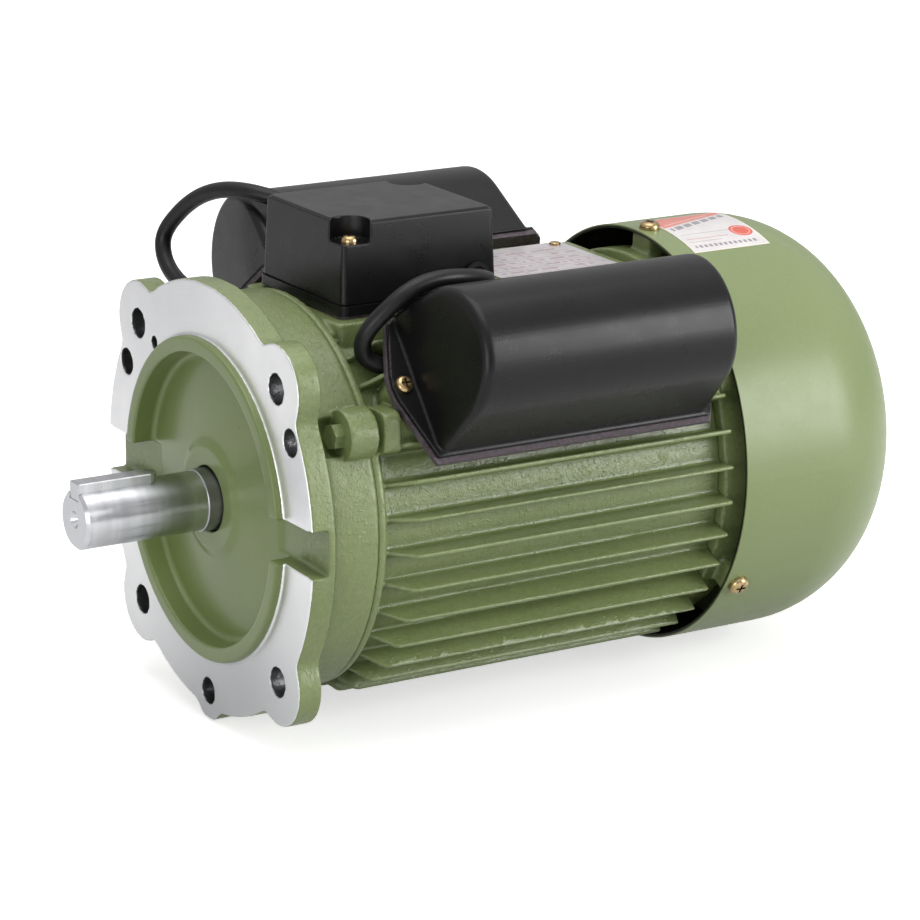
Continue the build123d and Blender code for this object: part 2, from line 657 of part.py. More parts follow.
with BuildPart() as governor_base:
    with BuildSketch(Plane.XY):
        with BuildLine():
            Polyline(*GOVERNOR_HUB_PROFILE, close=True)
        make_face()
    revolve(axis=Axis.X)
    # two pairs of ears that carry the weights on pins
    for flip in (1, -1):
        for ear_y in (3.8, -3.8 - EAR_T):
            with BuildSketch(Plane.XZ.offset(-ear_y)):
                with BuildLine():
                    Polyline(*[(x, flip * z) for x, z in EAR_OUTLINE], close=True)
                make_face()
            extrude(amount=-EAR_T)
        with BuildSketch(Plane.XZ.offset(PIN_HALF)):
            with Locations((PIVOT_X, flip * PIVOT_Z)):
                Circle(PIN_R)
        extrude(amount=-2 * PIN_HALF)
save("governor_base", governor_base.part)

save("governor_sleeve", turned(SLEEVE_PROFILE))

for tag, flip in (("upper", 1), ("lower", -1)):
    with BuildPart() as weight:
        with BuildSketch(Plane.XZ.offset(-WEIGHT_HALF)):
            with BuildLine():
                Polyline(*[(x, flip * z) for x, z in WEIGHT_OUTLINE], close=True)
            make_face()
            with Locations((PIVOT_X, flip * PIVOT_Z)):
                Circle(PIN_R + 0.07, mode=Mode.SUBTRACT)
        extrude(amount=2 * WEIGHT_HALF)
    save(f"{tag}_governor_weight", weight.part)

with BuildPart() as switch_plate:
    with BuildSketch(Plane.YZ.offset(SWITCH_X)):
        Circle(54.0)
        Circle(36.0, mode=Mode.SUBTRACT)
        with Locations(*SWITCH_SCREWS):
            Circle(1.7, mode=Mode.SUBTRACT)
    extrude(amount=SWITCH_PLATE_T)
save("switch_plate", switch_plate.part)

CONTACT_Y, CONTACT_W = 12.0, 5.0
# blocks of each leaf contact, from its foot on the plate to its tip behind the sleeve:
# rear x, height above the axis, radial length, thickness
CONTACT_BLOCKS = (
    (-193.98, 33.0, 19.0, 0.6), (-193.6, 25.2, 3.4, 2.2), (-191.9, 21.9, 6.8, 0.5),
)
with BuildPart() as switch_contacts:
    for flip in (1, -1):
        for block_x, block_z, block_l, block_t in CONTACT_BLOCKS:
            with BuildSketch(Plane.YZ.offset(block_x)):
                with Locations((CONTACT_Y, flip * block_z)):
                    Rectangle(CONTACT_W, block_l)
            extrude(amount=block_t)
        # round button on the foot
        with BuildSketch(Plane.YZ.offset(-193.4)):
            with Locations((CONTACT_Y, flip * 40.5)):
                Circle(1.6)
        extrude(amount=1.0)
save("switch_contacts", switch_contacts.part)

with BuildPart() as switch_screws:
    # radius and length along X of head and shank
    for screw_r, screw_l in ((3.0, 2.0), (1.5, -10.0)):
        with BuildSketch(Plane.YZ.offset(SWITCH_X + SWITCH_PLATE_T)):
            with Locations(*SWITCH_SCREWS):
                Circle(screw_r)
        extrude(amount=screw_l)
save("switch_screws", switch_screws.part)

# ---------------------------------------------------------------- stator core and winding
SLOTS = 24
SLOT_PITCH_R = 49.5
SLOT_L, SLOT_W = 14.0, 5.4
COIL_GAP = 0.4             # winding smaller than the slot, overall
COIL_OVERHANG = 6
END_TURN_L = 20.0
END_TURN_GAP = 2.5         # between the core and the end turns

with BuildPart() as stator_core:
    with BuildSketch(Plane.YZ.offset(CORE_X1)):
        Circle(FRAME_BORE_R - 0.01)
        Circle(STATOR_BORE_R, mode=Mode.SUBTRACT)
        with PolarLocations(SLOT_PITCH_R, SLOTS):
            SlotOverall(SLOT_L, SLOT_W, mode=Mode.SUBTRACT)
        # slot mouths into the bore
        with PolarLocations(41.5, SLOTS):
            Rectangle(6.0, 2.2, mode=Mode.SUBTRACT)
    extrude(amount=CORE_L)
save("stator_core", stator_core.part)

with BuildPart() as stator_winding:
    with BuildSketch(Plane.YZ.offset(CORE_X1 - COIL_OVERHANG)):
        with PolarLocations(SLOT_PITCH_R, SLOTS):
            SlotOverall(SLOT_L - COIL_GAP, SLOT_W - COIL_GAP)
    extrude(amount=CORE_L + 2 * COIL_OVERHANG)
    for end_x in (CORE_X0 + END_TURN_GAP, CORE_X1 - END_TURN_GAP - END_TURN_L):
        with BuildSketch(Plane.XY):
            with Locations((end_x + END_TURN_L / 2, 50.0)):
                RectangleRounded(END_TURN_L, 15.4, 5.0)
        revolve(axis=Axis.X)
save("stator_winding", stator_winding.part)

# ---------------------------------------------------------------- terminal box
POSTS = [
    (BOX_XC + BOX_L / 2 - 7.2, BOX_W / 2 - 7.0), (BOX_XC - BOX_L / 2 + 7.2, -BOX_W / 2 + 7.0),
]
POCKET_Z = BOX_Z2 - 8.8    # floor of the lid screw pockets
POCKET_R = 7.9
LID_TAPER = 3
PANEL_H = 1.0              # raised panel on the lid
BOX_SCREW_HOLE_R = 2.2
SUPPLY_Z = 94.0            # height of the supply opening
# lead openings in the side walls: side, x, z, hole radius, rim radius of the grommet
LEAD_OPENINGS = ((1, -103.0, 85.2, 4.6, 5.5), (-1, -84.0, 89.0, 5.4, 7.4))


def wall_plane(x, side, y, z):
    # parallel to a side wall of the box, facing outwards
    return Plane(origin=(x, side * y, z), x_dir=(1, 0, 0), z_dir=(0, side, 0))


with BuildPart() as box_gasket:
    with BuildSketch(Plane.XY.offset(PED_TOP)):
        with Locations((BOX_XC, 0)):
            RectangleRounded(BOX_L - 1, BOX_W - 1, 3)
            Circle(BOX_HOLE_R + 1, mode=Mode.SUBTRACT)
        with Locations(*BOX_SCREWS):
            Circle(BOX_SCREW_HOLE_R, mode=Mode.SUBTRACT)
    extrude(amount=BOX_Z0 - PED_TOP)
save("box_gasket", box_gasket.part)

BOARD_LIFT = 7             # underside of the terminal board above the box underside
with BuildPart() as terminal_box_base:
    # tray
    with BuildSketch(Plane.XY.offset(BOX_Z0)):
        with Locations((BOX_XC, 0)):
            RectangleRounded(BOX_L + 1.6, BOX_W + 1.6, 3.2)
    extrude(amount=BOX_Z1 - BOX_Z0)
    with BuildSketch(Plane.XY.offset(BOX_Z0 + BOX_FLOOR_T)):
        with Locations((BOX_XC, 0)):
            RectangleRounded(BOX_L - 7, BOX_W - 7, 2)
    extrude(amount=10, mode=Mode.SUBTRACT)
    # posts for the lid screws, then supports for the terminal board
    with BuildSketch(Plane.XY.offset(BOX_Z0)):
        with Locations(*POSTS):
            Circle(3.5)
    extrude(amount=20)
    with BuildSketch(Plane.XY.offset(BOX_Z0)):
        with Locations((BOX_XC + 20, 10), (BOX_XC - 20, 10)):
            Circle(3.4)
    extrude(amount=BOARD_LIFT)
    # wiring opening and screw holes
    with BuildSketch(Plane.XY.offset(BOX_Z0 - 1)):
        with Locations((BOX_XC, 0)):
            Circle(BOX_HOLE_R)
        with Locations(*BOX_SCREWS):
            Circle(BOX_SCREW_HOLE_R)
    extrude(amount=30, mode=Mode.SUBTRACT)
    with BuildSketch(Plane.XY.offset(BOX_Z0 + 6)):
        with Locations(*POSTS):
            Circle(1.6)
    extrude(amount=20, mode=Mode.SUBTRACT)
save("terminal_box_base", terminal_box_base.part)

# inside of the lid, leaving material round the screw pockets
with BuildPart() as lid_cavity:
    with BuildSketch(Plane.XY.offset(BOX_Z1)):
        with Locations((BOX_XC, 0)):
            RectangleRounded(BOX_L - 5, BOX_W - 5, 2)
    extrude(amount=BOX_Z2 - BOX_Z1 - 2.6, taper=LID_TAPER)
    with BuildSketch(Plane.XY.offset(POCKET_Z - 3.0)):
        with Locations(*POSTS):
            Circle(POCKET_R + 1.9)
    extrude(amount=20, mode=Mode.SUBTRACT)

with BuildPart() as terminal_box_lid:
    with BuildSketch(Plane.XY.offset(BOX_Z1)):
        with Locations((BOX_XC, 0)):
            RectangleRounded(BOX_L, BOX_W, 2.6)
    extrude(amount=BOX_Z2 - BOX_Z1 - 0.7, taper=LID_TAPER)
    # raised panel on top
    with BuildSketch(Plane.XY.offset(BOX_Z2 - PANEL_H)):
        with Locations((BOX_XC, 0)):
            RectangleRounded(BOX_L - 5.0, BOX_W - 5.0, 2.0)
    extrude(amount=PANEL_H)
    add(lid_cavity.part, mode=Mode.SUBTRACT)
    # corner pockets and holes for the lid screws
    with BuildSketch(Plane.XY.offset(POCKET_Z)):
        with Locations(*POSTS):
            Circle(POCKET_R)
    extrude(amount=20, mode=Mode.SUBTRACT)
    with BuildSketch(Plane.XY.offset(POCKET_Z - 6)):
        with Locations(*POSTS):
            Circle(2.2)
    extrude(amount=10, mode=Mode.SUBTRACT)
    # lead openings in both side walls and the supply opening in the rear wall
    for side, x, z, hole_r, _ in LEAD_OPENINGS:
        with BuildSketch(wall_plane(x, side, 45.0, z)):
            Circle(hole_r + 0.1)
        extrude(amount=-20, mode=Mode.SUBTRACT)
    with BuildSketch(Plane.YZ.offset(BOX_XC - BOX_L / 2 - 5)):
        with Locations((0, SUPPLY_Z)):
            Circle(8.0)
    extrude(amount=12, mode=Mode.SUBTRACT)
save("terminal_box_lid", terminal_box_lid.part)

with BuildPart() as lid_screws:
    for x, y in POSTS:
        add(pan_screw_head(
            Plane(origin=(x, y, POCKET_Z)), head_r=3.4, head_h=2.7, shank_r=1.5, shank_l=20.0
        ))
save("lid_screws", lid_screws.part)

with BuildPart() as box_base_screws:
    for x, y in BOX_SCREWS:
        add(pan_screw_head(
            Plane(origin=(x, y, BOX_Z0 + BOX_FLOOR_T)),
            head_r=3.6, head_h=2.4, shank_r=1.6, shank_l=9.0,
        ))
save("box_base_screws", box_base_screws.part)

# ---------------------------------------------------------------- terminal board
STUD_DX = 15
STUD_DY = (-14, 0)
STUDS = [(BOX_XC + dx, y) for dx in (-STUD_DX, 0, STUD_DX) for y in STUD_DY]
STUD_R = 2.0
STUD_Z = BOX_Z0 + 4.5
BOARD_Z = BOX_Z0 + BOARD_LIFT
BOARD_T = 4
LINK_Z = BOARD_Z + BOARD_T + 0.1
LINK_T = 1.0

with BuildPart() as terminal_board:
    with BuildSketch(Plane.XY.offset(BOARD_Z)):
        with Locations((BOX_XC, -2)):
            RectangleRounded(48, 36, 3)
        with Locations(*STUDS):
            Circle(STUD_R + 0.05, mode=Mode.SUBTRACT)
    extrude(amount=BOARD_T)
    # ribs between the pairs of studs
    with BuildSketch(Plane.XY.offset(BOARD_Z + BOARD_T)):
        with Locations((BOX_XC - STUD_DX / 2, -7), (BOX_XC + STUD_DX / 2, -7)):
            Rectangle(1.6, 34)
    extrude(amount=4)
save("terminal_board", terminal_board.part)

with BuildPart() as terminal_studs:
    with BuildSketch(Plane.XY.offset(STUD_Z)):
        with Locations(*STUDS):
            Circle(STUD_R)
    extrude(amount=19)
    with BuildSketch(Plane.XY.offset(STUD_Z)):
        with Locations(*STUDS):
            RegularPolygon(3.6, 6)
    extrude(amount=2.4)
save("terminal_studs", terminal_studs.part)

with BuildPart() as terminal_links:
    for link_x in (BOX_XC - STUD_DX, BOX_XC + STUD_DX):
        with BuildSketch(Plane.XY.offset(LINK_Z)):
            with Locations((link_x, sum(STUD_DY) / 2)):
                RectangleRounded(7.0, 22.0, 2.0)
            with Locations(*[(link_x, y) for y in STUD_DY]):
                Circle(STUD_R + 0.1, mode=Mode.SUBTRACT)
        extrude(amount=LINK_T)
save("terminal_links", terminal_links.part)

with BuildPart() as terminal_nuts:
    with BuildSketch(Plane.XY.offset(LINK_Z + LINK_T + 0.1)):
        with Locations(*STUDS):
            RegularPolygon(3.9, 6)
            Circle(STUD_R + 0.02, mode=Mode.SUBTRACT)
    extrude(amount=3.0)
save("terminal_nuts", terminal_nuts.part)

# turned about the shaft axis, (x, radius), then lifted to the supply opening
BOX_REAR_X = BOX_XC - BOX_L / 2
SUPPLY_GROMMET_PROFILE = [
    (BOX_REAR_X - 2.2, 3.5), (BOX_REAR_X - 2.2, 10.5), (BOX_REAR_X - 0.4, 10.5),
    (BOX_REAR_X - 0.4, 7.9), (BOX_REAR_X + 4.4, 7.9), (BOX_REAR_X + 4.4, 10.0),
    (BOX_REAR_X + 6.0, 10.0), (BOX_REAR_X + 6.0, 3.5),
]
save("supply_grommet", turned(SUPPLY_GROMMET_PROFILE).translate((0, 0, SUPPLY_Z)))

# ---------------------------------------------------------------- capacitors
CAN_R = 21.5
CAN_L = 94.0
CAN_X = CAP_X1 + 8.5       # rear end of the can
CAN_D = CAP_D + 25         # can axis above the shaft axis
COVER_WALL_T = 2.4
CUT_TOP = 142.0            # beyond the crown of the covers


def d_section(round_r, half_w):
    # D-shaped section: point where the side touches the round top, and the crown height
    rise = CAP_H - CAP_GASKET_T
    far = math.hypot(half_w, rise)
    lean = math.acos(round_r / far) - math.atan2(rise, half_w)
    touch = (round_r * math.cos(lean), CAP_H + round_r * math.sin(lean))
    return touch, CAP_H + round_r


def end_cuts(base, inset, front_lean, rear_lean):
    # outlines on an axial plane that trim both ends of a cover to their leaning faces
    front, rear = CAP_X0 - inset, CAP_X1 + inset
    return (
        [(front, base), (CAP_X0 - front_lean, CUT_TOP), (-30.0, CUT_TOP), (-30.0, base)],
        [(rear, base), (CAP_X1 + rear_lean, CUT_TOP), (-200.0, CUT_TOP), (-200.0, base)],
    )


def flange_points(side, grow, upper_edge):
    # outline of the flange and its gasket with a pointed ear at each end:
    # (x, distance across, positive down the side of the motor)
    points = [
        (-53.7 + grow * 0.7, 31.0 + grow * 3), (-45.0 + grow, 5.0), (-44.4 + grow, 0),
        (-45.0 + grow, -5.0), (-48.5 + grow * 0.7, -17.0), (-51.5 + grow * 0.6, -26.0),
        (-56.0, upper_edge), (-179.6, upper_edge), (-183.0 - grow * 0.6, -26.0),
        (-186.4 - grow * 0.7, -17.0), (-189.3 - grow, -5.0), (-190.0 - grow, 0),
        (-189.3 - grow, 5.0), (-182.3 - grow * 0.7, 23.5),
        (-178.0 - grow * 0.5, 31.0 + grow * 3),
    ]
    return [(x, side * across) for x, across in points]


for tag, side, angle, crown_r in CAPACITORS:
    with BuildPart() as capacitor_gasket:
        with BuildSketch(radial_plane(0, CAP_D, angle)):
            with BuildLine():
                Polyline(*flange_points(side, 0.7, -29.6), close=True)
            make_face()
            with Locations(*CAP_SCREWS):
                Circle(2.3, mode=Mode.SUBTRACT)
            with Locations((-66.5, -5.5 * side)):
                SlotOverall(19, 14.5, mode=Mode.SUBTRACT)
        extrude(amount=CAP_GASKET_T)
    save(f"{tag}_capacitor_gasket", capacitor_gasket.part)

    # room inside the cover, ends leaning much like the outside
    half_w = crown_r + 0.4
    (touch_x, touch_y), top = d_section(crown_r - COVER_WALL_T, half_w)
    foot_y = CAP_GASKET_T - 1
    with BuildPart() as cover_room:
        with BuildSketch(section_plane(CAP_X1 + 2.5, angle)):
            with BuildLine():
                Polyline(
                    (-touch_x, touch_y), (-half_w, foot_y), (half_w, foot_y), (touch_x, touch_y)
                )
                ThreePointArc((touch_x, touch_y), (0, top), (-touch_x, touch_y))
            make_face()
        extrude(amount=CAP_X0 - CAP_X1 - 5)
        with BuildSketch(axial_plane(angle)):
            for cut in end_cuts(base=CAP_D, inset=2.5, front_lean=9.0, rear_lean=6.6):
                with BuildLine():
                    Polyline(*cut, close=True)
                make_face()
        extrude(amount=40, both=True, mode=Mode.SUBTRACT)

    half_w = crown_r + 3.0
    (touch_x, touch_y), top = d_section(crown_r, half_w)
    foot_y = CAP_GASKET_T
    foot_d = CAP_D + CAP_GASKET_T
    with BuildPart() as capacitor_cover:
        with BuildSketch(section_plane(CAP_X1, angle)):
            with BuildLine():
                Polyline(
                    (-touch_x, touch_y), (-half_w, foot_y), (half_w, foot_y), (touch_x, touch_y)
                )
                ThreePointArc((touch_x, touch_y), (0, top), (-touch_x, touch_y))
            make_face()
        extrude(amount=CAP_X0 - CAP_X1)
        with BuildSketch(axial_plane(angle)):
            for cut in end_cuts(base=foot_d, inset=0, front_lean=6.3, rear_lean=4.0):
                with BuildLine():
                    Polyline(*cut, close=True)
                make_face()
        extrude(amount=40, both=True, mode=Mode.SUBTRACT)
        # round the rims of both ends, not the foot
        outward = Vector(0, *polar(1, angle))
        ends = [f for f in capacitor_cover.faces() if abs(f.normal_at().X) > 0.9]
        rims = [e for f in ends for e in f.edges() if e.center().dot(outward) > foot_d + 1]
        fillet(rims, 3.6)
        add(cover_room.part, mode=Mode.SUBTRACT)
        # flange with a pointed ear at each end
        with BuildSketch(radial_plane(0, foot_d, angle)):
            with BuildLine():
                Polyline(*flange_points(side, 0, -29.4), close=True)
            make_face()
            with Locations(((CAP_X0 + CAP_X1) / 2, 0)):
                Rectangle(CAP_X0 - CAP_X1 - 5, 54.8, mode=Mode.SUBTRACT)
            with Locations(*CAP_SCREWS):
                Circle(2.2, mode=Mode.SUBTRACT)
        extrude(amount=CAP_FLANGE_T)
    save(f"{tag}_capacitor_cover", capacitor_cover.part)

    # can with two flat tabs on its front end
    with BuildPart() as capacitor:
        with BuildSketch(section_plane(CAN_X, angle, CAN_D)):
            Circle(CAN_R)
        extrude(amount=CAN_L)
        fillet(capacitor.edges().filter_by(GeomType.CIRCLE), 2.0)
        with BuildSketch(section_plane(CAN_X + CAN_L, angle, CAN_D)):
            with Locations((-7, 0), (7, 0)):
                Rectangle(6.3, 0.8)
        extrude(amount=7.0)
    save(f"{tag}_capacitor", capacitor.part)

with BuildPart() as capacitor_screws:
    for _, _, angle, _ in CAPACITORS:
        for x in CAP_SCREW_X:
            add(pan_screw_head(
                radial_plane(x, CAP_D + CAP_GASKET_T + CAP_FLANGE_T, angle),
                head_r=3.6, head_h=2.4, shank_r=1.6, shank_l=11.0,
            ))
save("capacitor_screws", capacitor_screws.part)

# ---------------------------------------------------------------- capacitor leads
CABLE_R = 3.4
# (x, y, z) along each lead, from the terminal box to the capacitor cover
RIGHT_LEAD = [
    (-103.0, 26.0, 85.2), (-103.0, 31.0, 85.2), (-102.8, 36.0, 85.3), (-100.0, 46.0, 86.6),
    (-92.0, 54.0, 89.8), (-80.0, 58.4, 92.4), (-64.0, 59.0, 92.0), (-54.6, 58.6, 88.0),
    (-47.5, 56.5, 81.5), (-42.5, 53.5, 74.5), (-41.2, 51.5, 68.0), (-43.2, 51.2, 63.2),
    (-48.5, 53.0, 60.2), (-55.0, 55.5, 58.8), (-61.0, 59.0, 58.0), (-66.0, 64.5, 58.6),
    (-68.5, 70.5, 61.0),
]
LEFT_LEAD = [
    (-84.0, -26.0, 89.0), (-84.0, -31.0, 89.0), (-83.8, -36.0, 89.2), (-82.0, -44.0, 91.4),
    (-73.0, -55.0, 98.0), (-60.0, -66.0, 103.5), (-52.0, -80.0, 103.6), (-46.5, -96.5, 97.5),
    (-42.5, -108.0, 88.0), (-39.0, -113.0, 77.5), (-38.0, -108.5, 69.0), (-38.3, -99.0, 63.5),
    (-38.6, -87.0, 61.0), (-38.8, -74.0, 60.6), (-39.6, -63.0, 61.8), (-43.0, -54.0, 63.8),
    (-49.0, -50.8, 63.2), (-56.0, -52.9, 61.3), (-61.5, -57.2, 60.2), (-66.0, -62.2, 61.0),
    (-68.5, -68.1, 63.7),
]
for tag, points in (("right", RIGHT_LEAD), ("left", LEFT_LEAD)):
    with BuildPart() as lead:
        with BuildLine() as path:
            Spline(*points)
        start = path.edges()[0]
        with BuildSketch(Plane(origin=start @ 0, z_dir=start % 0)):
            Circle(CABLE_R)
        sweep(path=path.wires()[0])
    save(f"{tag}_capacitor_lead", lead.part)

with BuildPart() as lead_grommets:
    for side, x, z, hole_r, rim_r in LEAD_OPENINGS:
        # body in the wall, then rim outside it: radius, start beyond the wall, length
        for body_r, start_y, length in ((hole_r, -2.8, 3.6), (rim_r, 0.1, 1.6)):
            with BuildSketch(wall_plane(x, side, BOX_W / 2 + start_y, z)):
                Circle(body_r)
                Circle(CABLE_R + 0.45, mode=Mode.SUBTRACT)
            extrude(amount=length)
save("lead_grommets", lead_grommets.part)

# ---------------------------------------------------------------- fasteners
with BuildPart() as front_shield_bolts:
    for center in on_circle(ACCESS_R, BOLT_ANGLES):
        with BuildSketch(Plane.YZ.offset(LUG_BORE_X)):
            with Locations(center):
                RegularPolygon(5.2, 6, rotation=15)
        extrude(amount=4.0)
        with BuildSketch(Plane.YZ.offset(LUG_BORE_X)):
            with Locations(center):
                Circle(2.5)
        extrude(amount=-24.0)
save("front_shield_bolts", front_shield_bolts.part)

with BuildPart() as rear_shield_bolts:
    for center in on_circle(REAR_BOLT_R, BOLT_ANGLES):
        with BuildSketch(Plane.YZ.offset(REAR_LUG_X)):
            with Locations(center):
                RegularPolygon(4.6, 6)
        extrude(amount=-3.5)
        with BuildSketch(Plane.YZ.offset(REAR_LUG_X)):
            with Locations(center):
                Circle(2.0)
        extrude(amount=20.0)
save("rear_shield_bolts", rear_shield_bolts.part)

with BuildPart() as fan_cover_screws:
    for angle in COVER_SCREW_ANGLES:
        add(pan_screw_head(
            radial_plane(COVER_SCREW_X, COVER_R + 0.12, angle),
            head_r=4.3, head_h=2.8, shank_r=2.0, shank_l=10.0,
        ))
save("fan_cover_screws", fan_cover_screws.part)

# ---------------------------------------------------------------- nameplate and label
RIVET_Z = PLATE_Z + 0.54   # underside of the rivet heads
with BuildPart() as nameplate:
    with BuildSketch(Plane.XY.offset(PLATE_Z + 0.02)):
        with Locations((sum(RIVET_X) / 2, 0)):
            RectangleRounded(56.0, 65.0, 1.5)
        with Locations(*RIVETS):
            Circle(RIVET_HOLE_R, mode=Mode.SUBTRACT)
    extrude(amount=0.5)
save("nameplate", nameplate.part)

with BuildPart() as nameplate_rivets:
    for center in RIVETS:
        # radius and height of head and shank
        for rivet_r, rivet_h in ((2.4, 1.1), (1.2, -5.0)):
            with BuildSketch(Plane.XY.offset(RIVET_Z)):
                with Locations(center):
                    Circle(rivet_r)
            extrude(amount=rivet_h)
    fillet(nameplate_rivets.edges().filter_by(GeomType.CIRCLE).group_by(Axis.Z)[-1], 0.8)
save("nameplate_rivets", nameplate_rivets.part)

# thin label wrapped over the top of the fan cover, between two angles
LABEL_A0, LABEL_A1 = 69.2, 96.2
with BuildPart() as cover_label:
    with BuildSketch(axial_plane(LABEL_A0)):
        with Locations((-227.6, COVER_R + 0.09)):
            Rectangle(37.5, 0.14)
    revolve(axis=Axis.X, revolution_arc=LABEL_A1 - LABEL_A0)
save("cover_label", cover_label.part)
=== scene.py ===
"""Flange-mounted electric motor with capacitor covers and a terminal box.

The shaft axis is X. The flange face lies on x = 0, the shaft points to +X and the body
runs towards -X. +Z is up. Lengths are in metres, or in millimetres where MM or mm() is used.
"""
import bpy
import bmesh
import json
import math
from mathutils import Vector, Matrix


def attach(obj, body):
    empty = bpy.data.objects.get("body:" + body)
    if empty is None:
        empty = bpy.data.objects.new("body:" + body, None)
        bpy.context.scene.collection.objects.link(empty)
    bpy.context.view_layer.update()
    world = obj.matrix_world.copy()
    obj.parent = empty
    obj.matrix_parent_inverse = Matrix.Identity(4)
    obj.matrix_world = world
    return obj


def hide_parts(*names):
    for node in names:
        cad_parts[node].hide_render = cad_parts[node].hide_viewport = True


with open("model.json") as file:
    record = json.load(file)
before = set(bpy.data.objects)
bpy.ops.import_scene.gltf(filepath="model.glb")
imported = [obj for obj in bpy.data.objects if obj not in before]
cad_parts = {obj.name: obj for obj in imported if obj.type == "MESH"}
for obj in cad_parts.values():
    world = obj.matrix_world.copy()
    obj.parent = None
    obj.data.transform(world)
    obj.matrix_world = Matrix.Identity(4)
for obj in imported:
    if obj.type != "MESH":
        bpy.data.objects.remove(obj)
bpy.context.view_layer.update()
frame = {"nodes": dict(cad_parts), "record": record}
NODES = frame["nodes"]
BODY_OF = {
    node: body
    for body, nodes in frame["record"]["behaviour"]["bodies"].items()
    for node in nodes
}
SLOT_OF = {part["node"]: part["material_slot"] for part in frame["record"]["subparts"]}
MM = 0.001

# Flange casting, mm
FACE_X = -0.32                 # the bare turned face lies in front of this
SPIGOT_RADIUS = 65.15          # and outside this
DISH_EDGE = (66.2, 64.8)       # radii over which the smooth dish fades in
DISH_DEPTH = (-9.5, -7.5)      # x over which it fades in
HOLE_DEPTH_X = -10.6           # the bare drilled holes lie in front of this
FLANGE_HOLES = (               # hole radius, distance from the axis, angles in degrees
    (6.15, 82.5, (45, 135, 225, 315)),
    (5.55, 80.0, (30, 150, 270)),
    (2.75, 69.3, (129.5,)),
)

# Sheet shell, mm: inside this radius and in front of the end x the shell is coloured
# near-black as painted shade
SHELL_INNER_RADIUS = 86.9
SHELL_PAINTED_SHADE_END_X = -240

# Shaft collar: x over which the dark surface gives way to bright steel, mm
COLLAR_END = (4.6, 5.3)

# Label: x of its front and back edges (mm), angles of its near and far edges (degrees)
LABEL_X = (-208.85, -246.35)
LABEL_ANGLE = (69.2, 96.2)
LABEL_SCALE = (37.4, 41.2)     # mm per unit of u and of v
SEAL_CENTRE = (0.835, 0.32)    # u, v
SEAL_RADIUS = 5.1
SEAL_RING = (3.6, 4.0)         # inner and outer radius

# Nameplate: extent along x and across y, mm
PLATE_X = (-127.5, -183.5)
PLATE_Y = (32.5, -32.5)


def mm(*values):
    return tuple(value * MM for value in values)


def rgb(*channels):
    """sRGB 0-255 to linear."""
    def linear(channel):
        channel /= 255.0
        return channel / 12.92 if channel <= 0.04045 else ((channel + 0.055) / 1.055) ** 2.4
    return tuple(linear(channel) for channel in channels)


def lighter(color, by):
    return rgb(*[min(255, channel + by) for channel in color])


GREEN = rgb(126, 139, 90)
GREEN_LIGHT = rgb(152, 163, 116)


# ---------------------------------------------------------------- shader graph helper


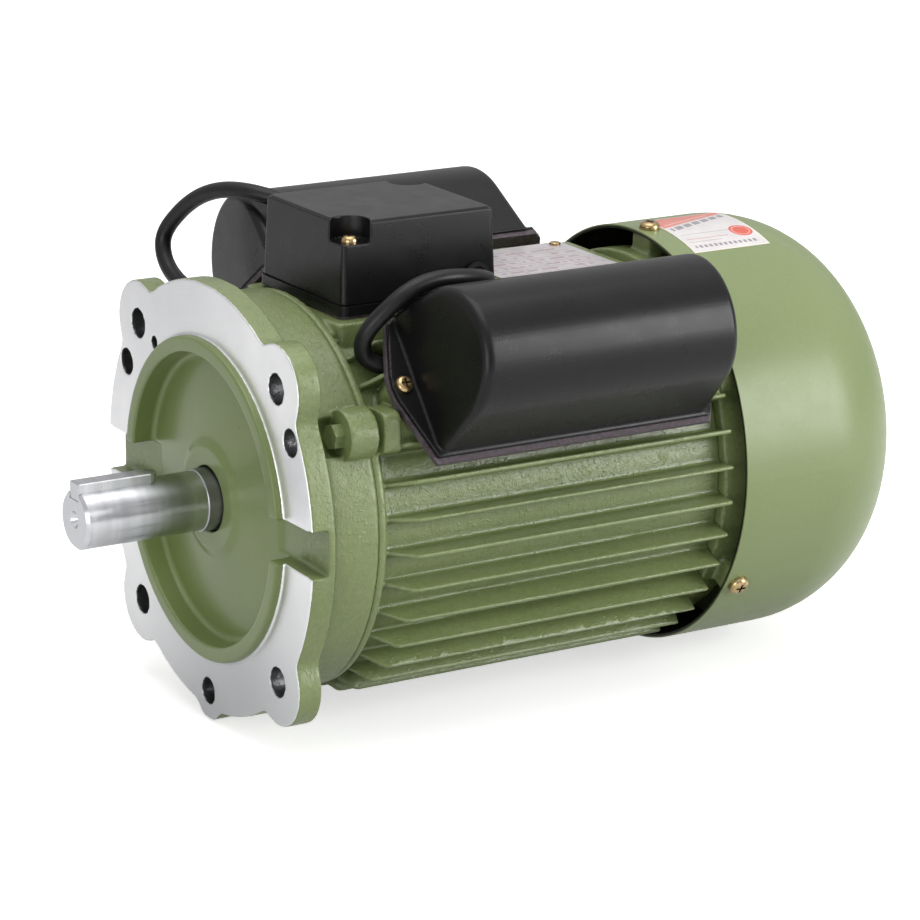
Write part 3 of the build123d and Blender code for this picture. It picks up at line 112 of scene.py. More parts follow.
class Mat:
    """A Principled material whose methods add nodes and return their output sockets.

    A `span` is the input range that is mapped to `out` (or `amount`), clamped at both ends.
    """
    INPUTS = dict(
        color="Base Color", metal="Metallic", rough="Roughness", normal="Normal",
        coat="Coat Weight", coat_rough="Coat Roughness", coat_normal="Coat Normal",
        aniso="Anisotropic", spec="Specular IOR Level",
    )

    def __init__(self, name):
        self.material = bpy.data.materials.new(name)
        self.material.use_nodes = True
        self.tree = self.material.node_tree
        self.tree.nodes.clear()
        self.surface = self.node("ShaderNodeOutputMaterial").inputs[0]
        self.shader = self.node("ShaderNodeBsdfPrincipled")
        self.put(self.surface, self.shader.outputs[0])
        self.object_coords = None

    def node(self, kind, **props):
        node = self.tree.nodes.new(kind)
        for key, value in props.items():
            setattr(node, key, value)
        return node

    def put(self, socket, value):
        """Link a socket, or set its value."""
        if isinstance(value, bpy.types.NodeSocket):
            self.tree.links.new(value, socket)
        elif isinstance(value, tuple):
            if socket.type == "RGBA" and len(value) == 3:
                value = (*value, 1.0)
            socket.default_value = value
        else:
            socket.default_value = value

    def set(self, **values):
        for key, value in values.items():
            self.put(self.shader.inputs[self.INPUTS[key]], value)
        return self.material

    # coordinates
    def coords(self):
        if self.object_coords is None:
            self.object_coords = self.node("ShaderNodeTexCoord").outputs["Object"]
        return self.object_coords

    def xyz(self):
        node = self.node("ShaderNodeSeparateXYZ")
        self.put(node.inputs[0], self.coords())
        return node.outputs[0], node.outputs[1], node.outputs[2]

    def stretched(self, scale):
        node = self.node("ShaderNodeMapping")
        self.put(node.inputs["Vector"], self.coords())
        node.inputs["Scale"].default_value = scale
        return node.outputs[0]

    # arithmetic
    def math(self, operation, *values):
        node = self.node("ShaderNodeMath", operation=operation)
        for socket, value in zip(node.inputs, values):
            self.put(socket, value)
        return node.outputs[0]

    def add(self, a, b):
        return self.math("ADD", a, b)

    def sub(self, a, b):
        return self.math("SUBTRACT", a, b)

    def mul(self, a, b):
        return self.math("MULTIPLY", a, b)

    def less(self, a, b):
        return self.math("LESS_THAN", a, b)

    def greater(self, a, b):
        return self.math("GREATER_THAN", a, b)

    def either(self, a, b):
        return self.math("MAXIMUM", a, b)

    def hypot(self, a, b):
        return self.math("SQRT", self.add(self.mul(a, a), self.mul(b, b)))

    def between(self, value, span):
        return self.mul(self.greater(value, span[0]), self.less(value, span[1]))

    def box(self, a, a_span, b, b_span):
        return self.mul(self.between(a, a_span), self.between(b, b_span))

    def dashes(self, value, pitch, duty):
        return self.less(self.math("FRACT", self.math("DIVIDE", value, pitch)), duty)

    def remap(self, value, span=(0.3, 0.7), out=(0.0, 1.0), smooth=False):
        node = self.node("ShaderNodeMapRange", clamp=True)
        node.interpolation_type = "SMOOTHSTEP" if smooth else "LINEAR"
        self.put(node.inputs["Value"], value)
        for key, limit in zip(("From Min", "From Max", "To Min", "To Max"), (*span, *out)):
            self.put(node.inputs[key], limit)
        return node.outputs[0]

    # patterns
    def noise(self, scale, detail=3.0, rough=0.55, vec=None):
        node = self.node("ShaderNodeTexNoise")
        self.put(node.inputs["Vector"], vec or self.coords())
        node.inputs["Scale"].default_value = scale
        node.inputs["Detail"].default_value = detail
        node.inputs["Roughness"].default_value = rough
        return node.outputs[0]

    def lines(self, value, frequency, detail=2.0):
        """Noise that varies along one value only."""
        node = self.node("ShaderNodeCombineXYZ")
        self.put(node.inputs[0], self.mul(value, frequency))
        return self.noise(scale=1.0, detail=detail, rough=0.5, vec=node.outputs[0])

    def voronoi(self, scale):
        node = self.node("ShaderNodeTexVoronoi")
        self.put(node.inputs["Vector"], self.coords())
        node.inputs["Scale"].default_value = scale
        return node.outputs[0]

    def cavity(self, distance):
        """Ambient occlusion: low in hollows, 1 in the open."""
        node = self.node("ShaderNodeAmbientOcclusion", samples=6, only_local=True)
        node.inputs["Distance"].default_value = distance
        return node.outputs["AO"]

    def edge(self, radius):
        """1 along outer and inner edges, 0 on flat areas."""
        geometry = self.node("ShaderNodeNewGeometry")
        bevel = self.node("ShaderNodeBevel", samples=4)
        bevel.inputs["Radius"].default_value = radius
        dot = self.node("ShaderNodeVectorMath", operation="DOT_PRODUCT")
        self.put(dot.inputs[0], bevel.outputs[0])
        self.put(dot.inputs[1], geometry.outputs["Normal"])
        return self.remap(dot.outputs["Value"], span=(0.995, 0.86))

    def vary(self, out, scale, detail=3.0, rough=0.55, span=(0.3, 0.7)):
        """A noise that wanders over the range `out`."""
        return self.remap(self.noise(scale, detail, rough), span, out)

    # mixing
    def mix_as(self, data_type, sockets, factor, a, b):
        """Mix node; `sockets` are the indices of inputs A and B and of the output."""
        node = self.node("ShaderNodeMix", data_type=data_type)
        self.put(node.inputs[0], factor)
        self.put(node.inputs[sockets[0]], a)
        self.put(node.inputs[sockets[1]], b)
        return node.outputs[sockets[2]]

    def mix(self, factor, a, b):
        return self.mix_as("RGBA", (6, 7, 2), factor, a, b)

    def mix_float(self, factor, a, b):
        return self.mix_as("FLOAT", (2, 3, 0), factor, a, b)

    def mix_vector(self, factor, a, b):
        return self.mix_as("VECTOR", (4, 5, 1), factor, a, b)

    def mottle(self, a, b, scale, detail=3.0, rough=0.55, span=(0.3, 0.7)):
        return self.mix(self.vary((0.0, 1.0), scale, detail, rough, span), a, b)

    def tint(self, base, color, pattern, span=(0.3, 0.7), amount=(0.0, 1.0)):
        return self.mix(self.remap(pattern, span, amount), base, color)

    def overlay(self, base, color, mask, amount):
        return self.mix(self.mul(mask, amount), base, color)

    # relief; depths are in mm
    def bump(self, height, strength, depth, on=None):
        node = self.node("ShaderNodeBump")
        self.put(node.inputs["Height"], height)
        self.put(node.inputs["Strength"], strength)
        self.put(node.inputs["Distance"], depth * MM)
        if on is not None:
            self.put(node.inputs["Normal"], on)
        return node.outputs[0]

    def grain(self, scale, strength, depth, detail=3.0, rough=0.55, on=None):
        return self.bump(self.noise(scale, detail, rough), strength, depth, on)


# ---------------------------------------------------------------- green paints


def cast_enamel(m):
    """Enamel over sandy cast metal: broad noise, colour, roughness, normal."""
    broad = m.noise(scale=22, detail=3, rough=0.6)
    color = m.mix(m.remap(broad), GREEN, rgb(115, 129, 79))
    color = m.tint(color, GREEN_LIGHT, m.noise(scale=420, detail=4, rough=0.65),
                   span=(0.35, 0.75), amount=(0.0, 0.35))
    # painted shade: darker green in hollows and crevices, driven by ambient occlusion
    color = m.tint(color, rgb(66, 80, 40), m.cavity(distance=7 * MM),
                   span=(0.35, 0.95), amount=(0.78, 0.0))
    color = m.tint(color, rgb(60, 72, 40), m.noise(scale=900, detail=2, rough=0.5),
                   span=(0.70, 0.78), amount=(0.0, 0.55))
    grit = m.remap(m.noise(scale=620, detail=2, rough=0.5), span=(0.56, 0.72), smooth=True)
    normal = m.grain(scale=240, detail=2, rough=0.5, strength=0.5, depth=0.35)
    normal = m.bump(grit, strength=0.6, depth=0.22, on=normal)
    normal = m.grain(scale=950, detail=3, rough=0.62, strength=0.7, depth=0.20, on=normal)
    rough = m.vary(out=(0.28, 0.46), scale=260, rough=0.6, span=(0.25, 0.8))
    return broad, color, rough, normal


def green_cast():
    m = Mat("green_cast_enamel")
    _, color, rough, normal = cast_enamel(m)
    return m.set(color=color, rough=rough, normal=normal, coat=0.45, coat_rough=0.12,
                 coat_normal=normal, spec=0.32)


def drilled_holes(m, x, y, z):
    """1 inside the flange holes."""
    holes = None
    for hole_radius, distance, angles in FLANGE_HOLES:
        for angle in map(math.radians, angles):
            from_y = m.sub(y, distance * math.cos(angle) * MM)
            from_z = m.sub(z, distance * math.sin(angle) * MM)
            hole = m.less(m.hypot(from_y, from_z), hole_radius * MM)
            holes = hole if holes is None else m.either(holes, hole)
    return m.mul(holes, m.greater(x, HOLE_DEPTH_X * MM))


def green_flange():
    """Cast enamel with a smooth dish, a bare turned face and bare drilled holes."""
    m = Mat("green_cast_enamel_flange")
    broad, color, rough, paint_normal = cast_enamel(m)
    x, y, z = m.xyz()
    radius = m.hypot(y, z)

    # smooth enamel with faint rings in the dish inside the spigot
    dish = m.mul(m.remap(radius, span=mm(*DISH_EDGE)), m.remap(x, span=mm(*DISH_DEPTH)))
    smooth = m.bump(m.lines(radius, frequency=420.0), strength=0.10, depth=0.10)
    smooth = m.grain(scale=90, detail=2, rough=0.4, strength=0.12, depth=0.18, on=smooth)
    paint_normal = m.mix_vector(dish, paint_normal, smooth)
    dish_color = m.mix(m.remap(broad), rgb(122, 138, 80), rgb(117, 133, 75))
    color = m.overlay(color, dish_color, dish, amount=0.8)
    rough = m.mix_float(dish, rough, 0.34)

    # the turned face carries painted reflection, bright and grey fans about its axis that
    # are brighter towards the top, and fine rings
    face = m.mul(m.greater(x, FACE_X * MM), m.greater(radius, SPIGOT_RADIUS * MM))
    rings = m.lines(radius, frequency=2600.0)
    angle = m.math("ARCTAN2", z, y)
    pairs = m.math("COSINE", m.mul(m.sub(angle, math.radians(18)), 2.0))
    painted_reflection_fans = m.add(m.mul(pairs, 0.3), m.mul(m.math("SINE", angle), 0.25))
    metal = m.mix(m.remap(painted_reflection_fans, span=(-0.5, 0.22)), rgb(192, 193, 195), rgb(250, 250, 251))
    metal = m.tint(metal, rgb(205, 206, 208), m.noise(scale=60), amount=(0.0, 0.2))
    metal = m.tint(metal, rgb(150, 151, 153), rings, span=(0.3, 0.8), amount=(0.0, 0.16))
    metal_normal = m.bump(rings, strength=0.10, depth=0.05)

    holes = drilled_holes(m, x, y, z)
    bare = m.either(face, holes)
    color = m.mix(face, color, metal)
    # the drilled hole walls are bare iron, coloured darker than the face as painted shade
    color = m.mix(holes, color, rgb(96, 97, 99))
    normal = m.mix_vector(face, paint_normal, metal_normal)
    rough = m.mix_float(face, rough, m.remap(rings, span=(0.2, 0.8), out=(0.30, 0.42)))
    coat = m.mul(m.sub(1.0, bare), 0.22)
    return m.set(color=color, rough=rough, metal=m.mul(bare, 0.9), normal=normal, coat=coat,
                 coat_rough=0.16, coat_normal=paint_normal)


def green_sheet():
    """Painted sheet with an orange-peel surface and a near-black inside that is painted
    shade.
    """
    m = Mat("green_sheet_enamel")
    color = m.mottle(rgb(134, 148, 102), rgb(128, 142, 96), scale=9, detail=2,
                     span=(0.35, 0.65))
    color = m.tint(color, GREEN_LIGHT, m.noise(scale=700, detail=2),
                   span=(0.45, 0.8), amount=(0.0, 0.18))
    x, y, z = m.xyz()
    # painted shade: the inside of the shell is coloured near-black
    inside = m.mul(m.less(m.hypot(y, z), SHELL_INNER_RADIUS * MM),
                   m.greater(x, SHELL_PAINTED_SHADE_END_X * MM))
    color = m.mix(inside, color, rgb(24, 27, 20))
    normal = m.grain(scale=26, detail=1, rough=0.4, strength=0.10, depth=0.3)
    normal = m.grain(scale=520, detail=2, rough=0.5, strength=0.2, depth=0.08, on=normal)
    return m.set(color=color, rough=m.vary(out=(0.33, 0.42), scale=180, detail=2),
                 normal=normal, coat=0.18, coat_rough=0.28, coat_normal=normal, spec=0.36)


# ---------------------------------------------------------------- plastics, rubber, board


def black_moulded():
    m = Mat("black_moulded")
    color = m.mottle(rgb(17, 17, 18), rgb(23, 23, 24), scale=40)
    dust = m.noise(scale=1500, detail=3, rough=0.7)
    color = m.tint(color, rgb(80, 80, 78), dust, span=(0.68, 0.84), amount=(0.0, 0.22))
    # painted highlight: lighter grey along every edge
    color = m.overlay(color, rgb(66, 66, 66), m.edge(radius=0.6 * MM), amount=0.35)
    return m.set(color=color, spec=0.27,
                 normal=m.grain(scale=900, rough=0.6, strength=0.4, depth=0.05),
                 rough=m.vary(out=(0.25, 0.34), scale=120, detail=4, rough=0.6,
                              span=(0.25, 0.75)))


def rubber(name, base, rough):
    m = Mat(name)
    return m.set(color=m.mottle(rgb(*base), lighter(base, by=9), scale=90),
                 normal=m.grain(scale=900, rough=0.6, strength=0.3, depth=0.05),
                 rough=m.vary(out=rough, scale=200), spec=0.34)


def gasket():
    m = Mat("gasket_sheet")
    color = m.mottle(rgb(72, 62, 68), rgb(98, 88, 94), scale=500, detail=4, rough=0.7,
                     span=(0.35, 0.65))
    color = m.tint(color, rgb(60, 54, 58), m.voronoi(scale=1400),
                   span=(0.05, 0.25), amount=(0.5, 0.0))
    return m.set(color=color, rough=0.62,
                 normal=m.grain(scale=1100, rough=0.7, strength=0.5, depth=0.1))


def nylon(name, dark, light):
    m = Mat(name)
    color = m.mottle(rgb(*dark), rgb(*light), scale=80)
    # painted highlight: lighter along every edge
    color = m.overlay(color, lighter(light, by=40), m.edge(radius=0.5 * MM), amount=0.3)
    return m.set(color=color, rough=m.vary(out=(0.4, 0.55), scale=150),
                 normal=m.grain(scale=800, strength=0.25, depth=0.06))


def board():
    m = Mat("phenolic_board")
    color = m.mottle(rgb(74, 44, 28), rgb(96, 60, 38), scale=180, detail=4, rough=0.7)
    color = m.tint(color, rgb(50, 28, 16), m.noise(scale=1200, detail=2),
                   span=(0.6, 0.8), amount=(0.0, 0.4))
    return m.set(color=color, rough=m.vary(out=(0.3, 0.45), scale=200),
                 normal=m.grain(scale=700, strength=0.2, depth=0.05))


def white_case():
    m = Mat("capacitor_case")
    return m.set(color=m.mottle(rgb(216, 216, 212), rgb(228, 228, 224), scale=60),
                 rough=m.vary(out=(0.3, 0.42), scale=120),
                 normal=m.grain(scale=500, detail=2, strength=0.12, depth=0.05))


# ---------------------------------------------------------------- metals


def turned_steel():
    """Fine turning lines across the shaft axis, broad soft bands, a dark collar."""
    m = Mat("turned_steel")
    x, _, _ = m.xyz()
    fine = m.lines(x, frequency=2200.0, detail=3.0)
    bands = m.lines(x, frequency=160.0, detail=1.0)
    color = m.mix(m.remap(bands), rgb(192, 194, 197), rgb(214, 215, 218))
    color = m.tint(color, rgb(132, 134, 138), fine, span=(0.4, 0.8), amount=(0.0, 0.25))
    color = m.tint(color, rgb(126, 122, 116), m.noise(scale=70, detail=4, rough=0.6),
                   span=(0.58, 0.8), amount=(0.0, 0.3))
    collar = m.remap(x, span=mm(*COLLAR_END), out=(1.0, 0.0))
    color = m.mix(collar, color, rgb(140, 140, 144))
    rough = m.add(m.remap(fine, span=(0.2, 0.8), out=(0.20, 0.30)), m.mul(collar, 0.14))
    return m.set(color=color, metal=1.0, rough=rough, aniso=0.35,
                 normal=m.bump(fine, strength=0.05, depth=0.02))


def plain_metal(name, base, dark, rough, grain, bump):
    """Mottled metal with a painted highlight along its edges and painted shade in its
    hollows.
    """
    m = Mat(name)
    color = m.mottle(rgb(*base), rgb(*dark), scale=grain, detail=4, rough=0.65)
    # painted highlight: lighter along the edges
    color = m.overlay(color, lighter(base, by=25), m.edge(radius=0.25 * MM), amount=0.4)
    # painted shade: darker in the hollows, driven by ambient occlusion
    painted_hollow_shade = rgb(*[int(channel * 0.35) for channel in dark])
    color = m.tint(color, painted_hollow_shade, m.cavity(distance=1.5 * MM),
                   span=(0.3, 0.9), amount=(0.7, 0.0))
    return m.set(color=color, metal=1.0, rough=m.vary(out=rough, scale=grain * 0.6),
                 normal=m.grain(scale=grain * 2, rough=0.6, strength=bump, depth=0.06))


def lamination():
    """Stack of sheets 0.5 mm thick along x, with rust blooms."""
    m = Mat("stacked_lamination")
    x, _, _ = m.xyz()
    sheets = m.math("FRACT", m.mul(x, 2000.0))
    color = m.mottle(rgb(104, 106, 112), rgb(86, 86, 90), scale=150)
    color = m.overlay(color, rgb(38, 38, 42), m.less(sheets, 0.22), amount=0.7)
    color = m.tint(color, rgb(112, 84, 62), m.noise(scale=60, detail=4, rough=0.6),
                   span=(0.62, 0.8), amount=(0.0, 0.4))
    return m.set(color=color, metal=0.8, rough=0.45,
                 normal=m.bump(sheets, strength=0.4, depth=0.1))


def winding():
    """Varnished copper wires tied with pale lacing."""
    rounded_pi = 3.14159
    lacings = 24
    wires_per_metre = (1300.0, 900.0)    # outwards from the axis, along x
    m = Mat("varnished_copper_wire")
    x, y, z = m.xyz()
    angle = m.math("ARCTAN2", z, y)
    radius = m.hypot(y, z)
    turn = m.add(m.mul(radius, wires_per_metre[0]), m.mul(x, wires_per_metre[1]))
    turn = m.add(turn, m.mul(m.noise(scale=60, detail=2), 5.0))
    wires = m.math("ABSOLUTE", m.math("SINE", m.mul(turn, rounded_pi)))
    color = m.mix(m.remap(wires, span=(0.1, 0.9)), rgb(92, 42, 20), rgb(186, 104, 56))
    lace = m.less(m.math("FRACT", m.mul(angle, lacings / (2 * rounded_pi))), 0.12)
    color = m.overlay(color, rgb(205, 196, 170), lace, amount=0.8)
    return m.set(color=color, metal=m.sub(0.6, m.mul(lace, 0.6)), rough=0.3,
                 normal=m.bump(wires, strength=0.8, depth=0.3), coat=0.6, coat_rough=0.15)


# ---------------------------------------------------------------- label and nameplate

LABEL_BARS = (    # u span, v span, sRGB colour, amount, (dash pitch in u, filled share)
    ((0.07, 0.93), (0.365, 0.372), (140, 120, 122), 0.8, None),
    ((0.07, 0.62), (0.25, 0.262), (196, 140, 136), 0.8, None),
    ((0.07, 0.50), (0.19, 0.20), (170, 150, 152), 0.8, None),
    ((0.08, 0.90), (0.075, 0.125), (120, 112, 120), 0.75, (0.065, 0.62)),
)


def label():
    """Adhesive foil: u runs from 0 at the front edge to the back, v around the shell."""
    m = Mat("label_foil")
    x, y, z = m.xyz()
    degrees = m.mul(m.math("ARCTAN2", z, y), 180 / math.pi)
    u = m.remap(x, span=mm(*LABEL_X))
    v = m.remap(degrees, span=LABEL_ANGLE)

    # pale paper and a red field with a sloping edge
    paper = m.mottle(rgb(222, 216, 216), rgb(232, 228, 227), scale=120)
    slope = m.add(0.583, m.mul(u, 0.30))
    red_field = m.greater(v, slope)
    red = m.mottle(rgb(226, 128, 112), rgb(232, 142, 128), scale=80, detail=2)
    color = m.mix(red_field, paper, red)

    # round seal with a pale ring
    across = m.mul(m.sub(u, SEAL_CENTRE[0]), LABEL_SCALE[0])
    around = m.mul(m.sub(v, SEAL_CENTRE[1]), LABEL_SCALE[1])
    distance = m.hypot(across, around)
    color = m.mix(m.less(distance, SEAL_RADIUS), color, rgb(224, 92, 70))
    color = m.mix(m.between(distance, SEAL_RING), color, rgb(240, 200, 190))

    for u_span, v_span, ink, amount, dash in LABEL_BARS:
        bar = m.box(u, u_span, v, v_span)
        if dash:
            bar = m.mul(bar, m.dashes(u, *dash))
        color = m.overlay(color, rgb(*ink), bar, amount)

    # dashed sloping bar below the red field, and a pale one in it
    bar = m.box(m.sub(slope, v), (0.035, 0.12), u, (0.07, 0.93))
    bar = m.mul(bar, m.dashes(u, pitch=0.143, duty=0.74))
    color = m.overlay(color, rgb(128, 120, 128), bar, amount=0.8)
    bar = m.box(m.sub(v, slope), (0.06, 0.075), u, (0.08, 0.8))
    color = m.mix(bar, color, rgb(245, 214, 206))

    border = m.either(m.either(m.less(u, 0.02), m.greater(u, 0.98)),
                      m.either(m.less(v, 0.018), m.greater(v, 0.982)))
    color = m.mix(border, color, rgb(238, 232, 222))
    return m.set(color=color, rough=m.vary(out=(0.28, 0.4), scale=90),
                 normal=m.grain(scale=300, detail=2, strength=0.1, depth=0.05),
                 coat=0.3, coat_rough=0.2)


def nameplate():
    """Etched plate with a ruled table: u runs towards -X, v towards -Y."""
    m = Mat("etched_plate")
    x, y, _ = m.xyz()
    u = m.remap(x, span=mm(*PLATE_X))
    v = m.remap(y, span=mm(*PLATE_Y))
    color = m.mottle(rgb(214, 208, 210), rgb(228, 223, 225), scale=220, detail=4, rough=0.7)
    table = m.box(u, (0.06, 0.94), v, (0.11, 0.89))

    def from_cell_middle(value, cells):
        return m.math("ABSOLUTE", m.sub(m.math("FRACT", m.mul(value, cells)), 0.5))

    def etch(ink, mask, amount):
        return m.mix(m.mul(mask, m.mul(table, amount)), color, ink)

    rows = from_cell_middle(v, cells=9.0)
    columns = from_cell_middle(u, cells=4.0)
    color = etch(rgb(170, 120, 124), m.greater(rows, 0.475), amount=0.75)
    color = etch(rgb(170, 120, 124), m.greater(columns, 0.487), amount=0.7)
    words = m.noise(scale=300, detail=0, vec=m.stretched((1, 0.35, 0)))
    dashes = m.mul(m.less(rows, 0.16), m.less(words, 0.5))
    color = etch(rgb(176, 140, 148), dashes, amount=0.55)
    heading = m.box(u, (0.03, 0.97), v, (0.03, 0.095))
    color = m.overlay(color, rgb(186, 132, 134), heading, amount=0.6)
    return m.set(color=color, metal=0.55, rough=m.vary(out=(0.28, 0.42), scale=140),
                 normal=m.grain(scale=60, detail=2, strength=0.2, depth=0.3))


# Material of each slot, made in this order
MATERIALS = {
    "casting_paint": green_cast(),
    "flange_paint": green_flange(),
    "sheet_paint": green_sheet(),
    "bolt_paint": green_cast(),
    "machined_steel": turned_steel(),
    "lamination": lamination(),
    "cast_aluminium": plain_metal(
        "die_cast_aluminium", base=(186, 188, 190), dark=(158, 160, 163),
        rough=(0.38, 0.55), grain=300, bump=0.35),
    "bearing_steel": plain_metal(
        "ground_steel", base=(212, 213, 216), dark=(190, 191, 195),
        rough=(0.10, 0.2), grain=800, bump=0.03),
    "spring_steel": plain_metal(
        "blued_steel", base=(96, 98, 106), dark=(70, 72, 80),
        rough=(0.3, 0.42), grain=500, bump=0.1),
    "pressed_steel": plain_metal(
        "zinc_passivated", base=(196, 186, 140), dark=(172, 164, 130),
        rough=(0.28, 0.42), grain=300, bump=0.12),
    "copper": winding(),
    "brass": plain_metal(
        "brass_screw", base=(206, 182, 138), dark=(160, 134, 92),
        rough=(0.2, 0.34), grain=500, bump=0.1),
    "black_plastic": black_moulded(),
    "board": board(),
    "fan_plastic": nylon("black_nylon", dark=(34, 34, 34), light=(44, 44, 44)),
    "governor_plastic": nylon("natural_nylon", dark=(206, 200, 178), light=(222, 216, 196)),
    "capacitor_case": white_case(),
    "gasket": gasket(),
    "rubber": rubber("black_rubber", base=(22, 22, 23), rough=(0.48, 0.62)),
    "cable": rubber("cable_sheath", base=(18, 18, 19), rough=(0.34, 0.46)),
    "plate_metal": nameplate(),
    "label": label(),
}

# ---------------------------------------------------------------- pieces


def link_object(name, data):
    obj = bpy.data.objects.new(name, data)
    bpy.context.scene.collection.objects.link(obj)
    return obj


def mesh_object(name, bm):
    mesh = bpy.data.meshes.new(name)
    bm.to_mesh(mesh)
    bm.free()
    return link_object(name, mesh)


def shade_smooth(mesh):
    for face in mesh.polygons:
        face.use_smooth = True
    mesh.update()


def apply_modifiers(obj):
    depsgraph = bpy.context.evaluated_depsgraph_get()
    mesh = bpy.data.meshes.new_from_object(
        obj.evaluated_get(depsgraph), preserve_all_data_layers=False, depsgraph=depsgraph)
    old = obj.data
    obj.modifiers.clear()
    obj.data = mesh
    bpy.data.meshes.remove(old)


def copy_cad(node, name):
    """Welded copy of a CAD piece."""
    bm = bmesh.new()
    bm.from_mesh(NODES[node].data)
    bmesh.ops.remove_doubles(bm, verts=bm.verts, dist=2e-6)
    bmesh.ops.recalc_face_normals(bm, faces=bm.faces)
    return mesh_object(name, bm)


def add_sand(obj, node):
    """Shallow uneven relief of a sand casting."""
    texture = bpy.data.textures.new(node + "_sand", "CLOUDS")
    texture.noise_scale = 0.006
    texture.noise_depth = 2
    displace = obj.modifiers.new("sand", "DISPLACE")
    displace.texture = texture
    displace.texture_coords = "LOCAL"
    displace.mid_level = 0.5
    displace.strength = 0.10 * MM


def softened(node, kind, voxel, max_triangles):
    """Copy of a CAD piece whose every edge and corner takes a small soft radius."""
    obj = copy_cad(node, f"{node}_{kind}")
    remesh = obj.modifiers.new("remesh", "REMESH")
    remesh.mode = "VOXEL"
    remesh.voxel_size = voxel * MM
    remesh.use_smooth_shade = True
    smooth = obj.modifiers.new("smooth", "SMOOTH")
    smooth.factor = 0.5
    smooth.iterations = 3 if kind == "cast" else 2
    if kind == "cast":
        add_sand(obj, node)
    apply_modifiers(obj)
    triangles = sum(len(face.vertices) - 2 for face in obj.data.polygons)
    if triangles > max_triangles:
        decimate = obj.modifiers.new("decimate", "DECIMATE")
        decimate.ratio = max_triangles / triangles
        apply_modifiers(obj)
    shade_smooth(obj.data)
    return obj


def stand_in(obj, node, material):
    """Put obj in the place of a CAD node, riding where the node rides."""
    obj.data.materials.clear()
    obj.data.materials.append(MATERIALS[material])
    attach(obj, BODY_OF[node])
    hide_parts(node)


for name, obj in NODES.items():
    obj.data.materials.clear()
    obj.data.materials.append(MATERIALS[SLOT_OF[name]])
    for face in obj.data.polygons:
        face.material_index = 0

SOFT_PIECES = (    # node, kind, voxel in mm when quick and in full, most triangles
    ("flange_end_shield", "cast", 0.9, 0.6, 196000),
    ("stator_frame", "cast", 1.1, 0.75, 196000),
    ("rear_end_shield", "cast", 1.3, 1.0, 90000),
    ("terminal_box_lid", "moulded", 0.9, 0.42, 120000),
    ("right_capacitor_cover", "moulded", 0.9, 0.5, 90000),
    ("left_capacitor_cover", "moulded", 0.9, 0.5, 90000),
)
for node, kind, quick_voxel, full_voxel, max_triangles in SOFT_PIECES:
    piece = softened(node, kind, full_voxel, max_triangles)
    stand_in(piece, node, "flange_paint" if node == "flange_end_shield" else SLOT_OF[node])

# ---------------------------------------------------------------- floor

FLOOR_Z = -0.0925
FLOOR_RADIUS = 7.0
FLOOR_SIDES = 48


def studio_paper():
    """Pale paper that glows to the camera and is darker to diffuse rays."""
    m = Mat("studio_paper")
    rays = m.node("ShaderNodeLightPath").outputs
    pale = m.mottle((0.90, 0.90, 0.90), (0.92, 0.92, 0.92), scale=3, detail=2)
    m.set(color=m.mix(rays["Is Diffuse Ray"], pale, (0.36, 0.37, 0.33)), rough=0.9, spec=0.1)
    glow = m.node("ShaderNodeEmission")
    m.put(glow.inputs[0], (1, 1, 1, 1))
    m.put(glow.inputs[1], m.add(m.mul(rays["Is Camera Ray"], 0.58),
                                m.mul(rays["Is Glossy Ray"], 0.16)))
    both = m.node("ShaderNodeAddShader")
    m.put(both.inputs[0], m.shader.outputs[0])
    m.put(both.inputs[1], glow.outputs[0])
    m.put(m.surface, both.outputs[0])
    return m.material


def studio_floor():
    bm = bmesh.new()
    angles = [k * math.pi / (FLOOR_SIDES / 2) for k in range(FLOOR_SIDES)]
    bm.faces.new([
        bm.verts.new((FLOOR_RADIUS * math.cos(a), FLOOR_RADIUS * math.sin(a), FLOOR_Z))
        for a in angles
    ])
    floor = mesh_object("studio_floor", bm)
    shade_smooth(floor.data)
    floor.data.materials.append(studio_paper())


studio_floor()

# ---------------------------------------------------------------- lights

LIT_POINT = Vector((-0.12, 0, 0))


def area_light(name, offset, width, height, power):
    """Rectangular light at an offset from the lit point, turned towards it."""
    light = bpy.data.lights.new(name, "AREA")
    light.shape = "RECTANGLE"
    light.size = width
    light.size_y = height
    light.energy = power
    obj = link_object(name, light)
    obj.location = LIT_POINT + offset
    obj.rotation_mode = "QUATERNION"
    aim = LIT_POINT - (LIT_POINT + offset)
    obj.rotation_quaternion = aim.to_track_quat("-Z", "Y")


area_light("key_side", offset=Vector((-0.62, 0.74, 0.26)) * 1.5,
           width=0.62, height=0.85, power=14)
area_light("top_soft", offset=Vector((0.05, 0.10, 1.5)), width=1.3, height=1.3, power=10.5)
area_light("front_fill", offset=Vector((1.2, 0.75, 0.10)), width=0.8, height=0.8, power=6.0)

# ---------------------------------------------------------------- world


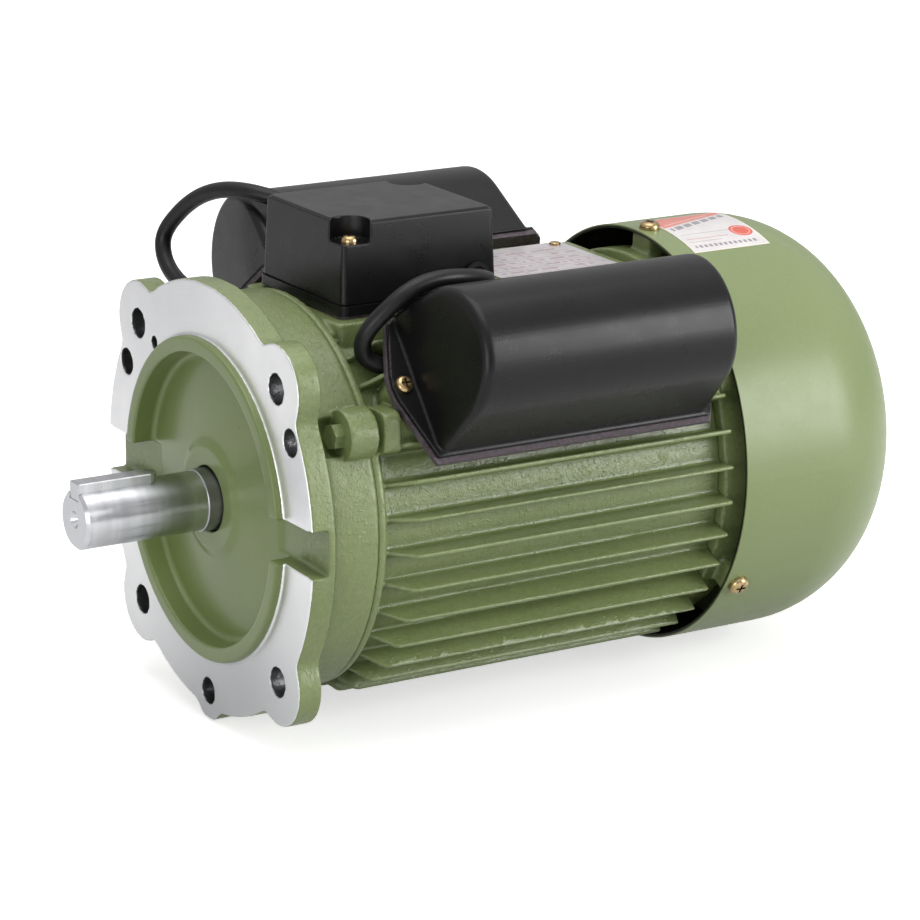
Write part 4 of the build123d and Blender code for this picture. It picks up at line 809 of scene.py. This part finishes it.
def studio_world():
    """Soft room, bright above and dim at the horizon; the camera sees plain white."""
    world = bpy.data.worlds.new("studio")
    bpy.context.scene.world = world
    world.use_nodes = True
    nodes = world.node_tree.nodes
    link = world.node_tree.links.new
    nodes.clear()

    def background(strength):
        node = nodes.new("ShaderNodeBackground")
        node.inputs["Strength"].default_value = strength
        return node

    def choose(factor, no, yes):
        node = nodes.new("ShaderNodeMixShader")
        for socket, source in zip(node.inputs, (factor, no, yes)):
            link(source, socket)
        return node.outputs[0]

    output = nodes.new("ShaderNodeOutputWorld")
    coords = nodes.new("ShaderNodeTexCoord")
    split = nodes.new("ShaderNodeSeparateXYZ")
    link(coords.outputs["Generated"], split.inputs[0])
    sky = nodes.new("ShaderNodeValToRGB")
    horizon, above = sky.color_ramp.elements
    horizon.position = 0.0
    horizon.color = (0.40, 0.40, 0.41, 1)
    above.position = 0.9
    above.color = (1.0, 1.0, 1.0, 1)
    link(split.outputs[2], sky.inputs[0])

    rays = nodes.new("ShaderNodeLightPath").outputs
    room = background(strength=0.62)
    reflected = background(strength=0.95)
    for node in (room, reflected):
        link(sky.outputs[0], node.inputs["Color"])
    white = background(strength=1.0)
    white.inputs["Color"].default_value = (1, 1, 1, 1)
    lighting = choose(rays["Is Glossy Ray"], room.outputs[0], reflected.outputs[0])
    seen = choose(rays["Is Camera Ray"], lighting, white.outputs[0])
    link(seen, output.inputs[0])


studio_world()

# ---------------------------------------------------------------- camera

CAMERA_PLACE = Vector((0.63006, 1.23372, 0.41955))
CAMERA_AXES = (
    Vector((-0.8569, 0.5155, 0.0087)),     # right
    Vector((-0.1371, -0.2441, 0.9600)),    # up
    Vector((0.4970, 0.8214, 0.2798)),      # backwards
)

camera_data = bpy.data.cameras.new("camera")
camera_data.sensor_width = 36
camera_data.lens = 143.777
camera_data.clip_start = 0.05
camera_data.clip_end = 20
camera = link_object("camera", camera_data)
turn = Matrix(CAMERA_AXES).transposed().to_4x4()
camera.matrix_world = Matrix.Translation(CAMERA_PLACE) @ turn
bpy.context.scene.camera = camera
bpy.context.scene.view_settings.view_transform = "Standard"
